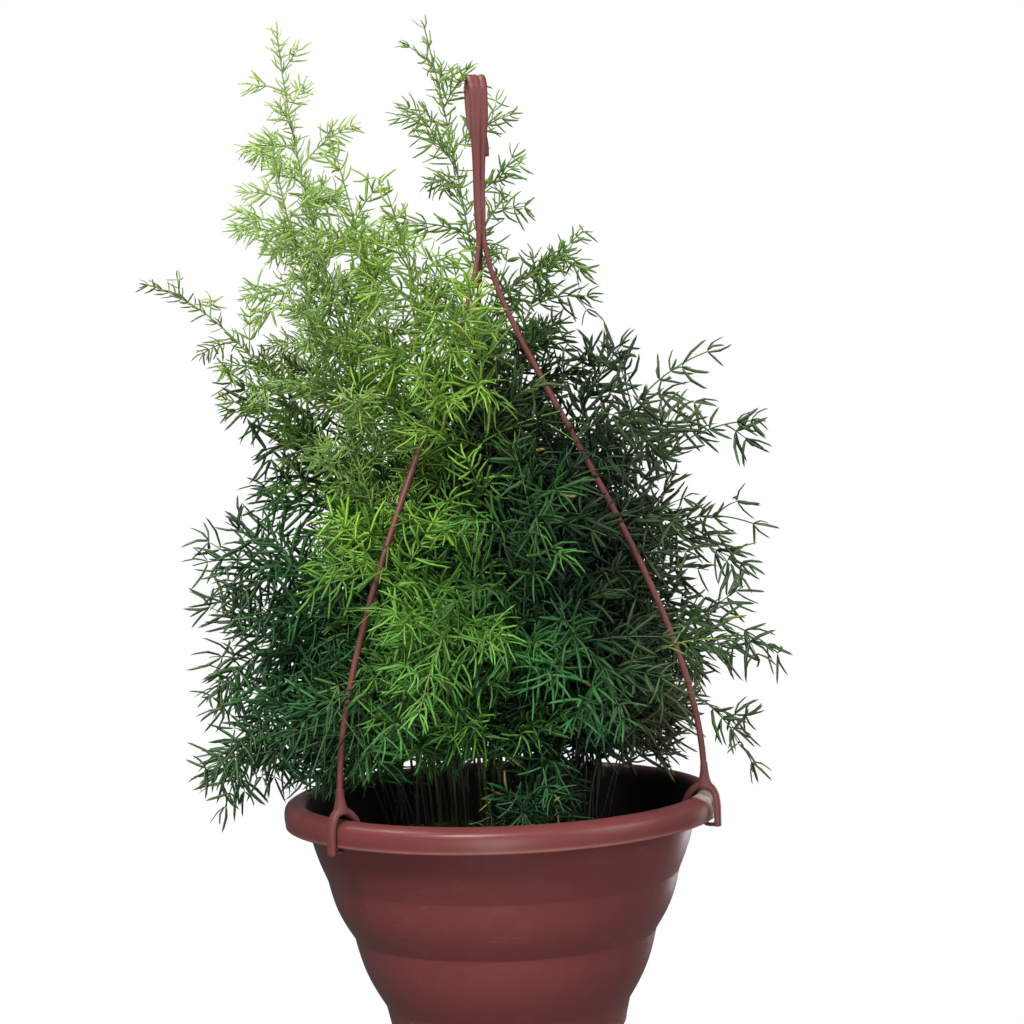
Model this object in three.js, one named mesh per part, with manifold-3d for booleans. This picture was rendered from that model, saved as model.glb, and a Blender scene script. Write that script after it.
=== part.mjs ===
// Foxtail fern in a hanging plastic pot.
//
// Millimetres, +Z up. The pot hangs from a hook, so the origin is the hook's seat, the inside top of its
// loop. Heights in this file are measured from the pot's base and moved down by HOOK.seat at the end.

import * as THREE from 'three';
import { mergeVertices } from 'three/addons/utils/BufferGeometryUtils.js';
import Module from 'manifold-3d';

const wasm = await Module();
wasm.setup();

// ---------------------------------------------------------------- Driving dimensions

const TOUCH_GAP = 0.3; // between pieces that rest on each other
const LEAF_GAP = 0.4; // between foliage and any other piece

// Outlines are lists of [radius, height].
const POT = {
  sides: 36,
  height: 145,
  rimRadius: 130,
  wall: 2.2,
  baseRadius: 62,
  cornerRadius: 9,
  creases: [[73.5, 20], [90.8, 62], [105.5, 97], [116.5, 131]], // above and below the bulging tiers
  bulges: [2.4, 2.2, 1],
  lipBottom: 130.5,
};
const UNDER_RIM = [[117.8, 133.5], [120, 140], [124, 142], [127.2, 138.5], [126.9, POT.lipBottom]];
const OVER_RIM = [[129.4, POT.lipBottom], [POT.rimRadius, 137.5], [128.5, 142.3], [122.5, POT.height],
  [118.6, 143.6], [116.3, 139]];

const SOIL = { top: 113, radius: 107, edge: 2, flatRadius: 87, rootDepth: 14 };

const HOOK = {
  foot: 478.3, // where the three strands meet
  seat: 569,
  loopRadius: 8.7,
  thickness: 3.4,
  width: 11,
  turn: THREE.MathUtils.degToRad(10),
  groove: { place: 0.12, reach: 0.12, depth: 0.7 }, // place and reach are shares of the width
};

const ARM = {
  azimuths: { left: 223.4, right: 343.4, back: 103.4 },
  footRadius: 125,
  footHeight: 156,
  headRadius: 1.9,
  headHeight: 478,
  footHandle: 113,
  headHandle: 60,
  thickness: 4,
  headThickness: 3,
  sides: 6,
  steps: 16,
  taperSteps: 5,
};

const CLIP = {
  thickness: 4,
  width: 6,
  legBottom: 126,
  overRim: [[131.4, 144.5], [128.8, 149], [125, 151], [120.6, 150], [116.6, 146.6], [113.6, 141.5],
    [112.3, 136], [110.7, 131.5]],
  barbWidth: 5,
  barbDepth: 3.6,
  barbReach: 126.2, // the radius at which the barb ends, under the lip
};

const STEM = { radius: 1.5, taper: 0.55, steps: 16, firstRing: 25, ringStep: 36 };

const TWIG = {
  radius: 1,
  taper: 0.8,
  steps: 4,
  lean: THREE.MathUtils.degToRad(52),
  sag: 0.45,
  fromTip: 24, // the last twig leaves the stem this far below its tip
  step: THREE.MathUtils.degToRad(190), // from one twig to the next, round the stem
  turns: [0, 20, -20, 40, -40, 60, -60, 80, -80].map(THREE.MathUtils.degToRad), // tried in this order
  firstWhorl: 18,
  lastWhorl: 12, // from the twig's end
  whorlStep: 18,
};

const NEEDLE = {
  length: 18,
  onStem: 0.9, // share of that length on the stem itself
  atTip: 0.6, // share of it at the end of a stem or twig
  radius: 0.9,
  band: 1.8,
  lean: THREE.MathUtils.degToRad(56),
};

// How a bar is tested against the pot: every so many millimetres, with this much room.
const POT_TEST = { step: 3, room: 5, innerRadius: 112 };

const COLOURS = {
  terracotta: { color: 0x7c3f3c, roughness: 0.45 },
  soil: { color: 0x2a211b, roughness: 0.95 },
  pale: { color: 0xb5cf86, roughness: 0.6 },
  bright: { color: 0x6f9a3a, roughness: 0.55 },
  mid: { color: 0x446f33, roughness: 0.55 },
  dark: { color: 0x24422a, roughness: 0.55 },
  gold: { color: 0xa8923f, roughness: 0.65 },
};

// The leafy stems. root: [x, y] on the soil. tip: [x, y, height]. pitch: the angle of the tip above the
// horizontal. rise and reach: how far the stem keeps its first and last direction. bare: the share of its
// length with no twigs. twigs: how many it bears. twig: the length of the longest one.
const STEMS = [
  // tall and upper shoots
  { name: 'stem_tall_left', tone: 'pale', root: [-30, 9], tip: [-117, 12, 602], pitch: 86,
    rise: 150, reach: 150, bare: 0.42, twigs: 6, twig: 58 },
  { name: 'stem_tall_left_side', tone: 'pale', root: [-36, -12], tip: [-119, -34, 536], pitch: 84,
    rise: 130, reach: 100, bare: 0.42, twigs: 5, twig: 56 },
  { name: 'stem_crown', tone: 'mid', root: [17, 25], tip: [-30, 46, 606], pitch: 76,
    rise: 200, reach: 110, bare: 0.34, twigs: 6, twig: 68 },
  { name: 'stem_crown_right', tone: 'mid', root: [28, 24], tip: [62, 40, 480], pitch: 36,
    rise: 170, reach: 110, bare: 0.34, twigs: 5, twig: 76 },
  { name: 'stem_thin_left', tone: 'bright', root: [-46, 0], tip: [-201, -10, 456], pitch: 14,
    rise: 120, reach: 95, bare: 0.42, twigs: 5, twig: 44 },
  { name: 'stem_upper_left', tone: 'bright', root: [-22, -14], tip: [-82, -26, 524], pitch: 76,
    rise: 150, reach: 110, bare: 0.28, twigs: 5, twig: 76 },
  { name: 'stem_upper_middle', tone: 'bright', root: [-12, -28], tip: [-52, -58, 500], pitch: 70,
    rise: 150, reach: 110, bare: 0.26, twigs: 5, twig: 76 },
  { name: 'stem_upper_front', tone: 'bright', root: [-1, -38], tip: [-8, -74, 452], pitch: 50,
    rise: 150, reach: 90, bare: 0.26, twigs: 5, twig: 74 },
  // towards the front
  { name: 'stem_front_middle', tone: 'bright', root: [-8, -54], tip: [-42, -142, 212], pitch: -52,
    rise: 150, reach: 100, bare: 0.3, twigs: 5, twig: 68 },
  { name: 'stem_front_left', tone: 'bright', root: [-26, -44], tip: [-92, -118, 292], pitch: -10,
    rise: 120, reach: 80, bare: 0.28, twigs: 5, twig: 74 },
  { name: 'stem_front_right', tone: 'mid', root: [12, -52], tip: [38, -128, 330], pitch: -5,
    rise: 150, reach: 70, bare: 0.28, twigs: 5, twig: 74 },
  { name: 'stem_low_front_right', tone: 'dark', root: [28, -48], tip: [72, -132, 196], pitch: -58,
    rise: 130, reach: 100, bare: 0.3, twigs: 4, twig: 66 },
  { name: 'stem_low_front_left', tone: 'mid', root: [-40, -34], tip: [-104, -116, 176], pitch: -62,
    rise: 120, reach: 100, bare: 0.3, twigs: 4, twig: 66 },
  { name: 'stem_front_low', tone: 'gold', root: [16, -70], tip: [30, -96, 158], pitch: -30,
    rise: 40, reach: 22, bare: 0.3, twigs: 3, twig: 22 },
  // towards the left
  { name: 'stem_left_high', tone: 'dark', root: [-52, 14], tip: [-154, 28, 396], pitch: 30,
    rise: 130, reach: 80, bare: 0.26, twigs: 5, twig: 72 },
  { name: 'stem_left_middle', tone: 'dark', root: [-60, -6], tip: [-178, -8, 288], pitch: -14,
    rise: 120, reach: 80, bare: 0.26, twigs: 5, twig: 72 },
  { name: 'stem_left_low', tone: 'dark', root: [-58, 24], tip: [-175, 36, 204], pitch: -48,
    rise: 110, reach: 100, bare: 0.28, twigs: 5, twig: 68 },
  { name: 'stem_left_drooping', tone: 'dark', root: [-54, -26], tip: [-160, -50, 150], pitch: -72,
    rise: 90, reach: 100, bare: 0.3, twigs: 4, twig: 60 },
  // towards the right
  { name: 'stem_right_high', tone: 'dark', root: [34, 12], tip: [134, 24, 404], pitch: 18,
    rise: 160, reach: 80, bare: 0.26, twigs: 5, twig: 74 },
  { name: 'stem_right_arching', tone: 'dark', root: [42, -6], tip: [164, -12, 362], pitch: -4,
    rise: 140, reach: 90, bare: 0.28, twigs: 5, twig: 68 },
  { name: 'stem_right_middle', tone: 'dark', root: [46, 26], tip: [160, 40, 298], pitch: -22,
    rise: 130, reach: 80, bare: 0.28, twigs: 5, twig: 72 },
  { name: 'stem_right_low', tone: 'dark', root: [56, 6], tip: [169, 4, 222], pitch: -42,
    rise: 100, reach: 90, bare: 0.3, twigs: 5, twig: 64 },
  { name: 'stem_right_drooping', tone: 'mid', root: [50, -26], tip: [146, -58, 166], pitch: -64,
    rise: 90, reach: 90, bare: 0.34, twigs: 4, twig: 52 },
  { name: 'stem_right_young', tone: 'pale', root: [38, -34], tip: [136, -84, 240], pitch: -6,
    rise: 90, reach: 60, bare: 0.62, twigs: 3, twig: 26 },
  { name: 'stem_inner_right', tone: 'dark', root: [24, -20], tip: [78, -44, 388], pitch: 40,
    rise: 150, reach: 80, bare: 0.26, twigs: 5, twig: 76 },
  { name: 'stem_inner_back_right', tone: 'dark', root: [24, 30], tip: [84, 66, 410], pitch: 44,
    rise: 150, reach: 80, bare: 0.26, twigs: 5, twig: 74 },
  // towards the back
  { name: 'stem_back_high', tone: 'mid', root: [0, 42], tip: [14, 92, 432], pitch: 44,
    rise: 150, reach: 80, bare: 0.26, twigs: 5, twig: 74 },
  { name: 'stem_back_high_left', tone: 'mid', root: [-26, 32], tip: [-76, 78, 438], pitch: 46,
    rise: 150, reach: 80, bare: 0.26, twigs: 5, twig: 74 },
  { name: 'stem_back_middle', tone: 'dark', root: [-6, 58], tip: [-20, 146, 286], pitch: -22,
    rise: 140, reach: 80, bare: 0.28, twigs: 5, twig: 74 },
  { name: 'stem_back_left', tone: 'dark', root: [-38, 44], tip: [-112, 116, 318], pitch: 2,
    rise: 130, reach: 80, bare: 0.28, twigs: 5, twig: 74 },
  { name: 'stem_back_right', tone: 'dark', root: [26, 52], tip: [88, 126, 326], pitch: 0,
    rise: 130, reach: 80, bare: 0.28, twigs: 5, twig: 74 },
  { name: 'stem_back_low_left', tone: 'mid', root: [-24, 66], tip: [-86, 142, 184], pitch: -58,
    rise: 110, reach: 90, bare: 0.3, twigs: 4, twig: 64 },
  { name: 'stem_back_low_right', tone: 'mid', root: [44, 50], tip: [128, 122, 198], pitch: -54,
    rise: 110, reach: 90, bare: 0.3, twigs: 4, twig: 64 },
];

const NEEDLE_TRIES = [[0, 1], [0.35, 1], [-0.35, 1], [0, 0.7], [0.35, 0.7], [-0.35, 0.7]]; // [turn, length]
const SIXTH_TURN = Math.PI / 3;
const GOLDEN_ANGLE = Math.PI * (3 - Math.sqrt(5));
const UP = new THREE.Vector3(0, 0, 1);

// ---------------------------------------------------------------- Solids

function geometryFrom(points, triangles) {
  const geometry = new THREE.BufferGeometry();
  const positions = new Float32Array(points.flatMap((p) => [p.x, p.y, p.z]));
  geometry.setAttribute('position', new THREE.BufferAttribute(positions, 3));
  geometry.setIndex(triangles.flat());
  return geometry;
}

function toSolid(geometry) {
  const bare = geometry.clone();
  bare.deleteAttribute('normal');
  bare.deleteAttribute('uv');
  const welded = mergeVertices(bare, 1e-4);
  return new wasm.Manifold(new wasm.Mesh({
    numProp: 3,
    vertProperties: new Float32Array(welded.attributes.position.array),
    triVerts: new Uint32Array(welded.index.array),
  }));
}

function toGeometry(solid) {
  const { vertProperties, triVerts } = solid.getMesh();
  const geometry = new THREE.BufferGeometry();
  geometry.setAttribute('position', new THREE.BufferAttribute(vertProperties, 3));
  geometry.setIndex(new THREE.BufferAttribute(triVerts, 1));
  return geometry;
}

// Joins pieces into one body. A scrap or a sealed pocket that the join leaves is dropped.
function fuse(geometries) {
  const [first, ...rest] = geometries.map(toSolid);
  const bodies = rest.reduce((sum, solid) => sum.add(solid), first).decompose();
  return toGeometry(bodies.reduce((a, b) => (b.volume() > a.volume() ? b : a)));
}

// A turned body from a closed outline.
function turned(outline) {
  const points = outline.map(([r, z]) => new THREE.Vector2(r, z));
  return new THREE.LatheGeometry(points, POT.sides).rotateX(Math.PI / 2);
}

// A closed skin over rings of points, with a flat cap at each end. Every ring runs anticlockwise, seen
// from its far side.
function skin(rings) {
  const count = rings[0].length;
  const points = rings.flat();
  const triangles = [];
  for (let k = 0; k + 1 < rings.length; k += 1) {
    for (let j = 0; j < count; j += 1) {
      const a = k * count + j;
      const b = k * count + ((j + 1) % count);
      triangles.push([a, b, b + count], [a, b + count, a + count]);
    }
  }
  const addCap = (first, flip) => {
    const middle = new THREE.Vector3();
    for (let j = 0; j < count; j += 1) middle.addScaledVector(points[first + j], 1 / count);
    const hub = points.push(middle) - 1;
    for (let j = 0; j < count; j += 1) {
      const pair = [first + j, first + ((j + 1) % count)];
      triangles.push(flip ? [hub, pair[1], pair[0]] : [hub, pair[0], pair[1]]);
    }
  };
  addCap(0, true);
  addCap((rings.length - 1) * count, false);
  return geometryFrom(points, triangles);
}

// Directions along a line of points.
function tangents(points) {
  return points.map((p, i) => {
    const before = points[Math.max(i - 1, 0)];
    const after = points[Math.min(i + 1, points.length - 1)];
    return after.clone().sub(before).normalize();
  });
}

// ---------------------------------------------------------------- Pot and soil

// One bulging tier of the wall, from its lower to its upper crease, moved inwards by `inset`.
function tier(lower, upper, bulge, steps, inset) {
  const from = new THREE.Vector2(...lower);
  const along = new THREE.Vector2(...upper).sub(from);
  const outward = new THREE.Vector2(along.y, -along.x).normalize();
  return Array.from({ length: steps + 1 }, (_, i) => {
    const t = i / steps;
    const swell = bulge * Math.sin(Math.PI * t) - inset;
    return from.clone().addScaledVector(along, t).addScaledVector(outward, swell).toArray();
  });
}

// The wall from the middle of the base to the lip, moved inwards by `inset`. Each crease is kept once.
function wall(inset, steps) {
  const tiers = POT.bulges.flatMap((bulge, k) => (
    tier(POT.creases[k], POT.creases[k + 1], bulge, steps, inset).slice(k > 0 ? 1 : 0)));
  const corner = [-90, -45, 0].map((degrees) => {
    const angle = THREE.MathUtils.degToRad(degrees);
    const radius = POT.cornerRadius - inset;
    return [POT.baseRadius + radius * Math.cos(angle), POT.cornerRadius + radius * Math.sin(angle)];
  });
  return [[0, inset], ...corner, ...tiers];
}

function makePot() {
  const outline = [...wall(0, 3), ...UNDER_RIM, ...OVER_RIM, ...wall(POT.wall, 2).reverse()];
  return toGeometry(toSolid(turned(outline)));
}

// The section that roots, stems and needles share: three corners on a circle.
function section(centre, normal, side, radius, twist) {
  return [0, 1, 2].map((j) => {
    const angle = twist + (j * 2 * Math.PI) / 3;
    return centre.clone()
      .addScaledVector(normal, radius * Math.cos(angle))
      .addScaledVector(side, radius * Math.sin(angle));
  });
}

function makeSoil(plants) {
  const below = wall(POT.wall + TOUCH_GAP, 1).filter(([radius]) => radius < SOIL.radius - SOIL.edge);
  const surface = [[SOIL.radius, SOIL.top - SOIL.edge], [SOIL.flatRadius, SOIL.top], [0, SOIL.top]];
  const holes = plants.map(({ line }) => {
    const { normal, side } = line[0];
    const foot = line[0].point.clone().addScaledVector(UP, -TOUCH_GAP);
    const mouth = foot.clone().addScaledVector(UP, 2 * SOIL.rootDepth);
    return toSolid(skin([foot, mouth].map((p) => section(p, normal, side, STEM.radius + 2 * TOUCH_GAP, 0))));
  });
  const filling = toSolid(turned([...below, ...surface]));
  return toGeometry(holes.reduce((body, hole) => body.subtract(hole), filling));
}

// ---------------------------------------------------------------- Hanger

// The band's middle line from the junction of the strands, up the front, over the top and down the back.
// Each row is [sideways, depth, height, width, thickness].
function hookLine() {
  const loopCentre = HOOK.seat + HOOK.thickness / 2 - HOOK.loopRadius;
  const band = [HOOK.width, HOOK.thickness];
  const front = [
    [0, 0, HOOK.foot, 6.8, 6.8],
    [0, 0, 488, 6.4, 5.6],
    [0, 0, 500, 6.6, 4.8],
    [0, -1.2, 513, 7, 4.2],
    [0, -3.4, 525, 8, 3.8],
    [0, -5.8, 536, 9.6, 3.5],
    [0, -7.9, 547, ...band],
  ];
  const over = Array.from({ length: 9 }, (_, i) => {
    const angle = Math.PI * (1 - i / 8);
    const depth = HOOK.loopRadius * Math.cos(angle);
    return [0, depth, loopCentre + HOOK.loopRadius * Math.sin(angle), ...band];
  });
  const back = [
    [0.4, 8.3, 550, ...band],
    [1.2, 6.6, 540, 10.4, HOOK.thickness],
    [2.4, 4.3, 531, 9.6, HOOK.thickness],
    [3.4, 3, 524.5, 7.4, 2.8],
  ];
  return [...front, ...over, ...back];
}

function makeHook() {
  const rows = hookLine();
  const middle = rows.map(([x, y, z]) => new THREE.Vector3(x, y, z));
  const along = tangents(middle);
  along[0] = UP.clone();
  const rings = rows.map(([, , , width, thickness], i) => {
    const across = new THREE.Vector3(1, 0, 0);
    const outer = across.clone().cross(along[i]).normalize();
    const { place, reach } = HOOK.groove;
    const depth = i === 0 ? 0 : HOOK.groove.depth;
    const outline = [
      [-width / 2, -thickness / 2],
      [-width / 2, thickness / 2],
      [width * (place - reach), thickness / 2],
      [width * place, thickness / 2 - depth],
      [width * (place + reach), thickness / 2],
      [width / 2, thickness / 2],
      [width / 2, -thickness / 2],
    ];
    return outline.map(([u, v]) => middle[i].clone().addScaledVector(across, u).addScaledVector(outer, v));
  });
  return skin(rings).rotateZ(HOOK.turn);
}

// Points of a hanger arm are laid out in its own upright plane, as [distance from the axis, height].
function armPoint(azimuth, radius, height) {
  return new THREE.Vector3(radius * Math.cos(azimuth), radius * Math.sin(azimuth), height);
}

function armLine(azimuth) {
  const curve = new THREE.CubicBezierCurve3(
    armPoint(azimuth, ARM.footRadius, ARM.footHeight),
    armPoint(azimuth, ARM.footRadius, ARM.footHeight + ARM.footHandle),
    armPoint(azimuth, ARM.headRadius, ARM.headHeight - ARM.headHandle),
    armPoint(azimuth, ARM.headRadius, ARM.headHeight),
  );
  return curve.getSpacedPoints(ARM.steps);
}

function makeStrand(azimuth) {
  const across = new THREE.Vector3(-Math.sin(azimuth), Math.cos(azimuth), 0);
  const points = armLine(azimuth);
  const along = tangents(points);
  along[0] = UP.clone();
  along[ARM.steps] = UP.clone();
  const rings = points.map((p, k) => {
    const outer = across.clone().cross(along[k]).normalize();
    const taper = THREE.MathUtils.smoothstep(k, ARM.steps - ARM.taperSteps, ARM.steps);
    const radius = THREE.MathUtils.lerp(ARM.thickness, ARM.headThickness, taper) / 2;
    return Array.from({ length: ARM.sides }, (_, j) => {
      const angle = ((j + 0.5) * 2 * Math.PI) / ARM.sides;
      return p.clone()
        .addScaledVector(outer, radius * Math.cos(angle))
        .addScaledVector(across, radius * Math.sin(angle));
    });
  });
  return skin(rings);
}

// A bar of rectangular section along [radius, height, width, thickness] rows in the arm's plane.
function bar(azimuth, rows) {
  const across = new THREE.Vector3(-Math.sin(azimuth), Math.cos(azimuth), 0);
  const middle = rows.map(([r, z]) => armPoint(azimuth, r, z));
  const along = tangents(middle);
  return skin(rows.map(([, , width, thickness], k) => {
    const outer = across.clone().cross(along[k]).normalize();
    return [[1, -1], [1, 1], [-1, 1], [-1, -1]].map(([u, v]) => middle[k].clone()
      .addScaledVector(outer, (u * thickness) / 2)
      .addScaledVector(across, (v * width) / 2));
  }));
}

// The fork that straddles the rim, its barb under the lip and the crown that carries the strand.
function makeClip(azimuth) {
  const { thickness, width, barbWidth, barbReach } = CLIP;
  const outerLeg = POT.rimRadius + TOUCH_GAP + thickness / 2;
  const line = [[outerLeg, CLIP.legBottom], [outerLeg, POT.height - 7], ...CLIP.overRim];
  const fork = bar(azimuth, line.map(([r, z]) => [r, z, width, thickness]));
  const crown = bar(azimuth, [
    [ARM.footRadius, ARM.footHeight - 6, 7.4, 7.4],
    [ARM.footRadius, ARM.footHeight - 2, 6.6, 6],
    [ARM.footRadius, ARM.footHeight + 2, 3, 3],
  ]);
  // The barb starts inside the leg and widens upwards to a ledge under the lip.
  const barbTop = POT.lipBottom - TOUCH_GAP;
  const barbRoot = outerLeg - thickness / 4;
  const barb = bar(azimuth, [
    [barbRoot - 0.2, barbTop - CLIP.barbDepth, barbWidth, 0.8],
    [(barbRoot + barbReach + 1) / 2, barbTop - CLIP.barbDepth * 0.4, barbWidth, barbRoot - barbReach - 1.4],
    [(barbRoot + barbReach) / 2, barbTop, barbWidth, barbRoot - barbReach],
  ]);
  return [fork, crown, barb];
}

function makeArm(degrees) {
  const azimuth = THREE.MathUtils.degToRad(degrees);
  return fuse([...makeClip(azimuth), makeStrand(azimuth)]);
}

// ---------------------------------------------------------------- Where foliage may not go

// Round bars that stand for what is already placed. Each belongs to a rod: a stem, a twig or the hanger.
const placed = [];

// Half section of the pot's wall and rim as [radius, height, half thickness] points.
const WALL_SECTION = [[70, 4, 4], [73, 20, 3], [85, 42, 4], [91, 62, 3], [101, 80, 4], [106, 97, 3],
  [112, 114, 3], [116, 131, 2.5], [117.5, 140, 3], [123, 142.5, 3], [128.5, 139, 3], [128.2, 131, 2.5]];

function distanceBetween(a, b, c, d) {
  const u = b.clone().sub(a);
  const v = d.clone().sub(c);
  const w = a.clone().sub(c);
  const [uu, uv, vv, uw, vw] = [u.dot(u), u.dot(v), v.dot(v), u.dot(w), v.dot(w)];
  const spread = uu * vv - uv * uv;
  let s = spread > 1e-9 ? THREE.MathUtils.clamp((uv * vw - vv * uw) / spread, 0, 1) : 0;
  const t = THREE.MathUtils.clamp((uv * s + vw) / vv, 0, 1);
  s = THREE.MathUtils.clamp((uv * t - uw) / uu, 0, 1);
  return a.clone().addScaledVector(u, s).distanceTo(c.clone().addScaledVector(v, t));
}

function clearOfPot(from, to, radius) {
  const steps = Math.ceil(from.distanceTo(to) / POT_TEST.step);
  const room = radius + POT_TEST.room;
  return Array.from({ length: steps + 1 }, (_, i) => from.clone().lerp(to, i / steps)).every((p) => {
    const r = Math.hypot(p.x, p.y);
    if (r < POT_TEST.innerRadius && p.z < SOIL.top + radius + 1) return false;
    return WALL_SECTION.every(([wr, wz, half]) => Math.hypot(r - wr, p.z - wz) >= half + room);
  });
}

function clearOfOthers(from, to, radius, own) {
  const half = from.distanceTo(to) / 2;
  const middle = from.clone().lerp(to, 0.5);
  return placed.every((other) => {
    if (own.includes(other.rod)) return true;
    const room = radius + other.radius + LEAF_GAP;
    if (middle.distanceTo(other.middle) > room + half + other.half) return true;
    return distanceBetween(from, to, other.from, other.to) > room;
  });
}

// `own` names the rods that a new bar may touch.
const isClear = (from, to, radius, own) => (
  clearOfPot(from, to, radius) && clearOfOthers(from, to, radius, own));

function place(from, to, radius, rod) {
  placed.push({ from, to, radius, rod, middle: from.clone().lerp(to, 0.5), half: from.distanceTo(to) / 2 });
}

function placeLine(points, radius, rod) {
  points.slice(1).forEach((p, k) => place(points[k], p, radius, rod));
}

// ---------------------------------------------------------------- Leafy stems

// Stations along a line of points, each with a normal and a side direction that turn as little as possible.
function frames(points, firstNormal) {
  const along = tangents(points);
  let normal = firstNormal.clone();
  return points.map((point, k) => {
    normal = normal.clone().addScaledVector(along[k], -normal.dot(along[k])).normalize();
    return { point, normal, along: along[k], side: along[k].clone().cross(normal) };
  });
}

// A place on a line of stations at a distance from its start.
function stationAt(line, distance) {
  let left = distance;
  let k = 0;
  while (k + 2 < line.length && left > line[k].point.distanceTo(line[k + 1].point)) {
    left -= line[k].point.distanceTo(line[k + 1].point);
    k += 1;
  }
  const [a, b] = [line[k], line[k + 1]];
  const t = left / a.point.distanceTo(b.point);
  const along = a.along.clone().lerp(b.along, t).normalize();
  const normal = a.normal.clone().addScaledVector(along, -a.normal.dot(along)).normalize();
  return { point: a.point.clone().lerp(b.point, t), normal, along, side: along.clone().cross(normal) };
}

const lengthOf = (line) => line.slice(1).reduce((sum, s, k) => sum + s.point.distanceTo(line[k].point), 0);

// The tip of the needle that leaves a rod at a station, towards an angle round it. It is turned or
// shortened to stay clear of its neighbours, and where there is no room at all there is none.
function needleTip({ point, normal, along, side }, angle, length, rod) {
  for (const [turn, share] of NEEDLE_TRIES) {
    const tip = point.clone()
      .addScaledVector(along, length * share * Math.cos(NEEDLE.lean))
      .addScaledVector(normal, length * share * Math.sin(NEEDLE.lean) * Math.cos(angle + turn))
      .addScaledVector(side, length * share * Math.sin(NEEDLE.lean) * Math.sin(angle + turn));
    if (isClear(point, tip, NEEDLE.radius, [rod])) {
      place(point, tip, NEEDLE.radius, rod);
      return tip;
    }
  }
  return null;
}

// The stops of a rod become rings of three points. A plain stop is one ring. A stop that bears a whorl or
// a twig is a short band between two rings, turned by half a step from the one before or to the twig.
function ringsOf(stops) {
  let twist = 0;
  return stops.flatMap(({ distance, whorl, twig }) => {
    if (whorl) twist += SIXTH_TURN;
    if (twig) twist += withinTurn(twig.azimuth - SIXTH_TURN - twist, 2 * SIXTH_TURN);
    if (!whorl && !twig) return [{ distance, twist }];
    return [
      { distance: distance - NEEDLE.band / 2, twist, bears: true, twig },
      { distance: distance + NEEDLE.band / 2, twist },
    ];
  });
}

// An angle brought to within half of a turn either way. A third of a turn brings one of three like corners
// to an angle.
const withinTurn = (angle, turn) => angle - turn * Math.round(angle / turn);

// Triangles that fill the strip between two loops of points, going round both at the same pace.
function strip(inner, outer) {
  const triangles = [];
  let [i, j] = [0, 0];
  while (i < inner.length || j < outer.length) {
    const [a, b] = [inner[i % inner.length], outer[j % outer.length]];
    if ((i + 0.5) / inner.length <= (j + 0.5) / outer.length) {
      i += 1;
      triangles.push([a, inner[i % inner.length], b]);
    } else {
      j += 1;
      triangles.push([a, outer[j % outer.length], b]);
    }
  }
  return triangles;
}

// Joins two loops. Of the strips between them, the fullest is the one that doesn't pass through itself.
function bridge(shape, inner, outer) {
  const hub = shape.points[inner[0]];
  const volume = (triangles) => triangles.reduce((sum, corners) => {
    const [p, q, r] = corners.map((c) => shape.points[c].clone().sub(hub));
    return sum + p.dot(q.cross(r));
  }, 0);
  const shifted = (loop, by) => loop.map((_, k) => loop[(k + by) % loop.length]);
  const ways = inner.flatMap((_, a) => outer.map((__, b) => strip(shifted(inner, a), shifted(outer, b))));
  shape.triangles.push(...ways.reduce((best, way) => (volume(way) > volume(best) ? way : best)));
}

// Two triangles for a four-sided face. A rod turns between its rings, so the face is split along its
// shorter diagonal, which runs outside the rod.
function splitFace(shape, [a, b, c, d]) {
  const span = (from, to) => shape.points[from].distanceTo(shape.points[to]);
  return span(a, c) < span(b, d) ? [[a, b, c], [a, c, d]] : [[a, b, d], [b, c, d]];
}

// Adds a three-sided rod along a line of stations, thinner towards its end, which is drawn out into a last
// needle. The three faces of each band are drawn out into needles or a twig. The rod grows from `root`, a
// loop of points, or has a flat foot.
function growRod(shape, rod) {
  const { line, radius, taper, needle, name, root } = rod;
  const total = lengthOf(line);
  const rings = ringsOf(rod.stops);
  const first = shape.points.length;
  const stations = rings.map(({ distance }) => stationAt(line, distance));
  stations.forEach(({ point, normal, side }, k) => {
    const here = radius * THREE.MathUtils.lerp(1, taper, rings[k].distance / total);
    shape.points.push(...section(point, normal, side, here, rings[k].twist));
  });
  const loop = (k) => [0, 1, 2].map((j) => first + 3 * k + j);
  if (root) bridge(shape, root, loop(0));
  else shape.triangles.push(loop(0).reverse());
  rings.slice(0, -1).forEach(({ distance, twist, bears, twig }, k) => {
    const station = stations[k];
    const length = needle * THREE.MathUtils.lerp(1, NEEDLE.atTip, (distance / total) ** 2);
    for (let j = 0; j < 3; j += 1) {
      const [a, b] = [loop(k)[j], loop(k)[(j + 1) % 3]];
      const face = [a, b, b + 3, a + 3];
      const angle = twist + (2 * j + 1) * SIXTH_TURN;
      if (twig && Math.abs(withinTurn(angle - twig.azimuth, 6 * SIXTH_TURN)) < SIXTH_TURN) {
        growRod(shape, { ...twig, root: face });
        continue;
      }
      const tip = bears && needleTip(station, angle, length, name);
      if (tip) {
        const apex = shape.points.push(tip) - 1;
        face.forEach((corner, c) => shape.triangles.push([corner, face[(c + 1) % 4], apex]));
      } else {
        shape.triangles.push(...splitFace(shape, face));
      }
    }
  });
  const end = shape.points.push(line[line.length - 1].point) - 1;
  const last = loop(rings.length - 1);
  last.forEach((corner, c) => shape.triangles.push([corner, last[(c + 1) % 3], end]));
}

// Even places from `first` to `final`, about `step` apart, or one place where there is room for no more.
function evenly(first, final, step) {
  const count = Math.round((final - first) / step);
  if (count < 1) return [(first + final) / 2];
  return Array.from({ length: count + 1 }, (_, i) => THREE.MathUtils.lerp(first, final, i / count));
}

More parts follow.
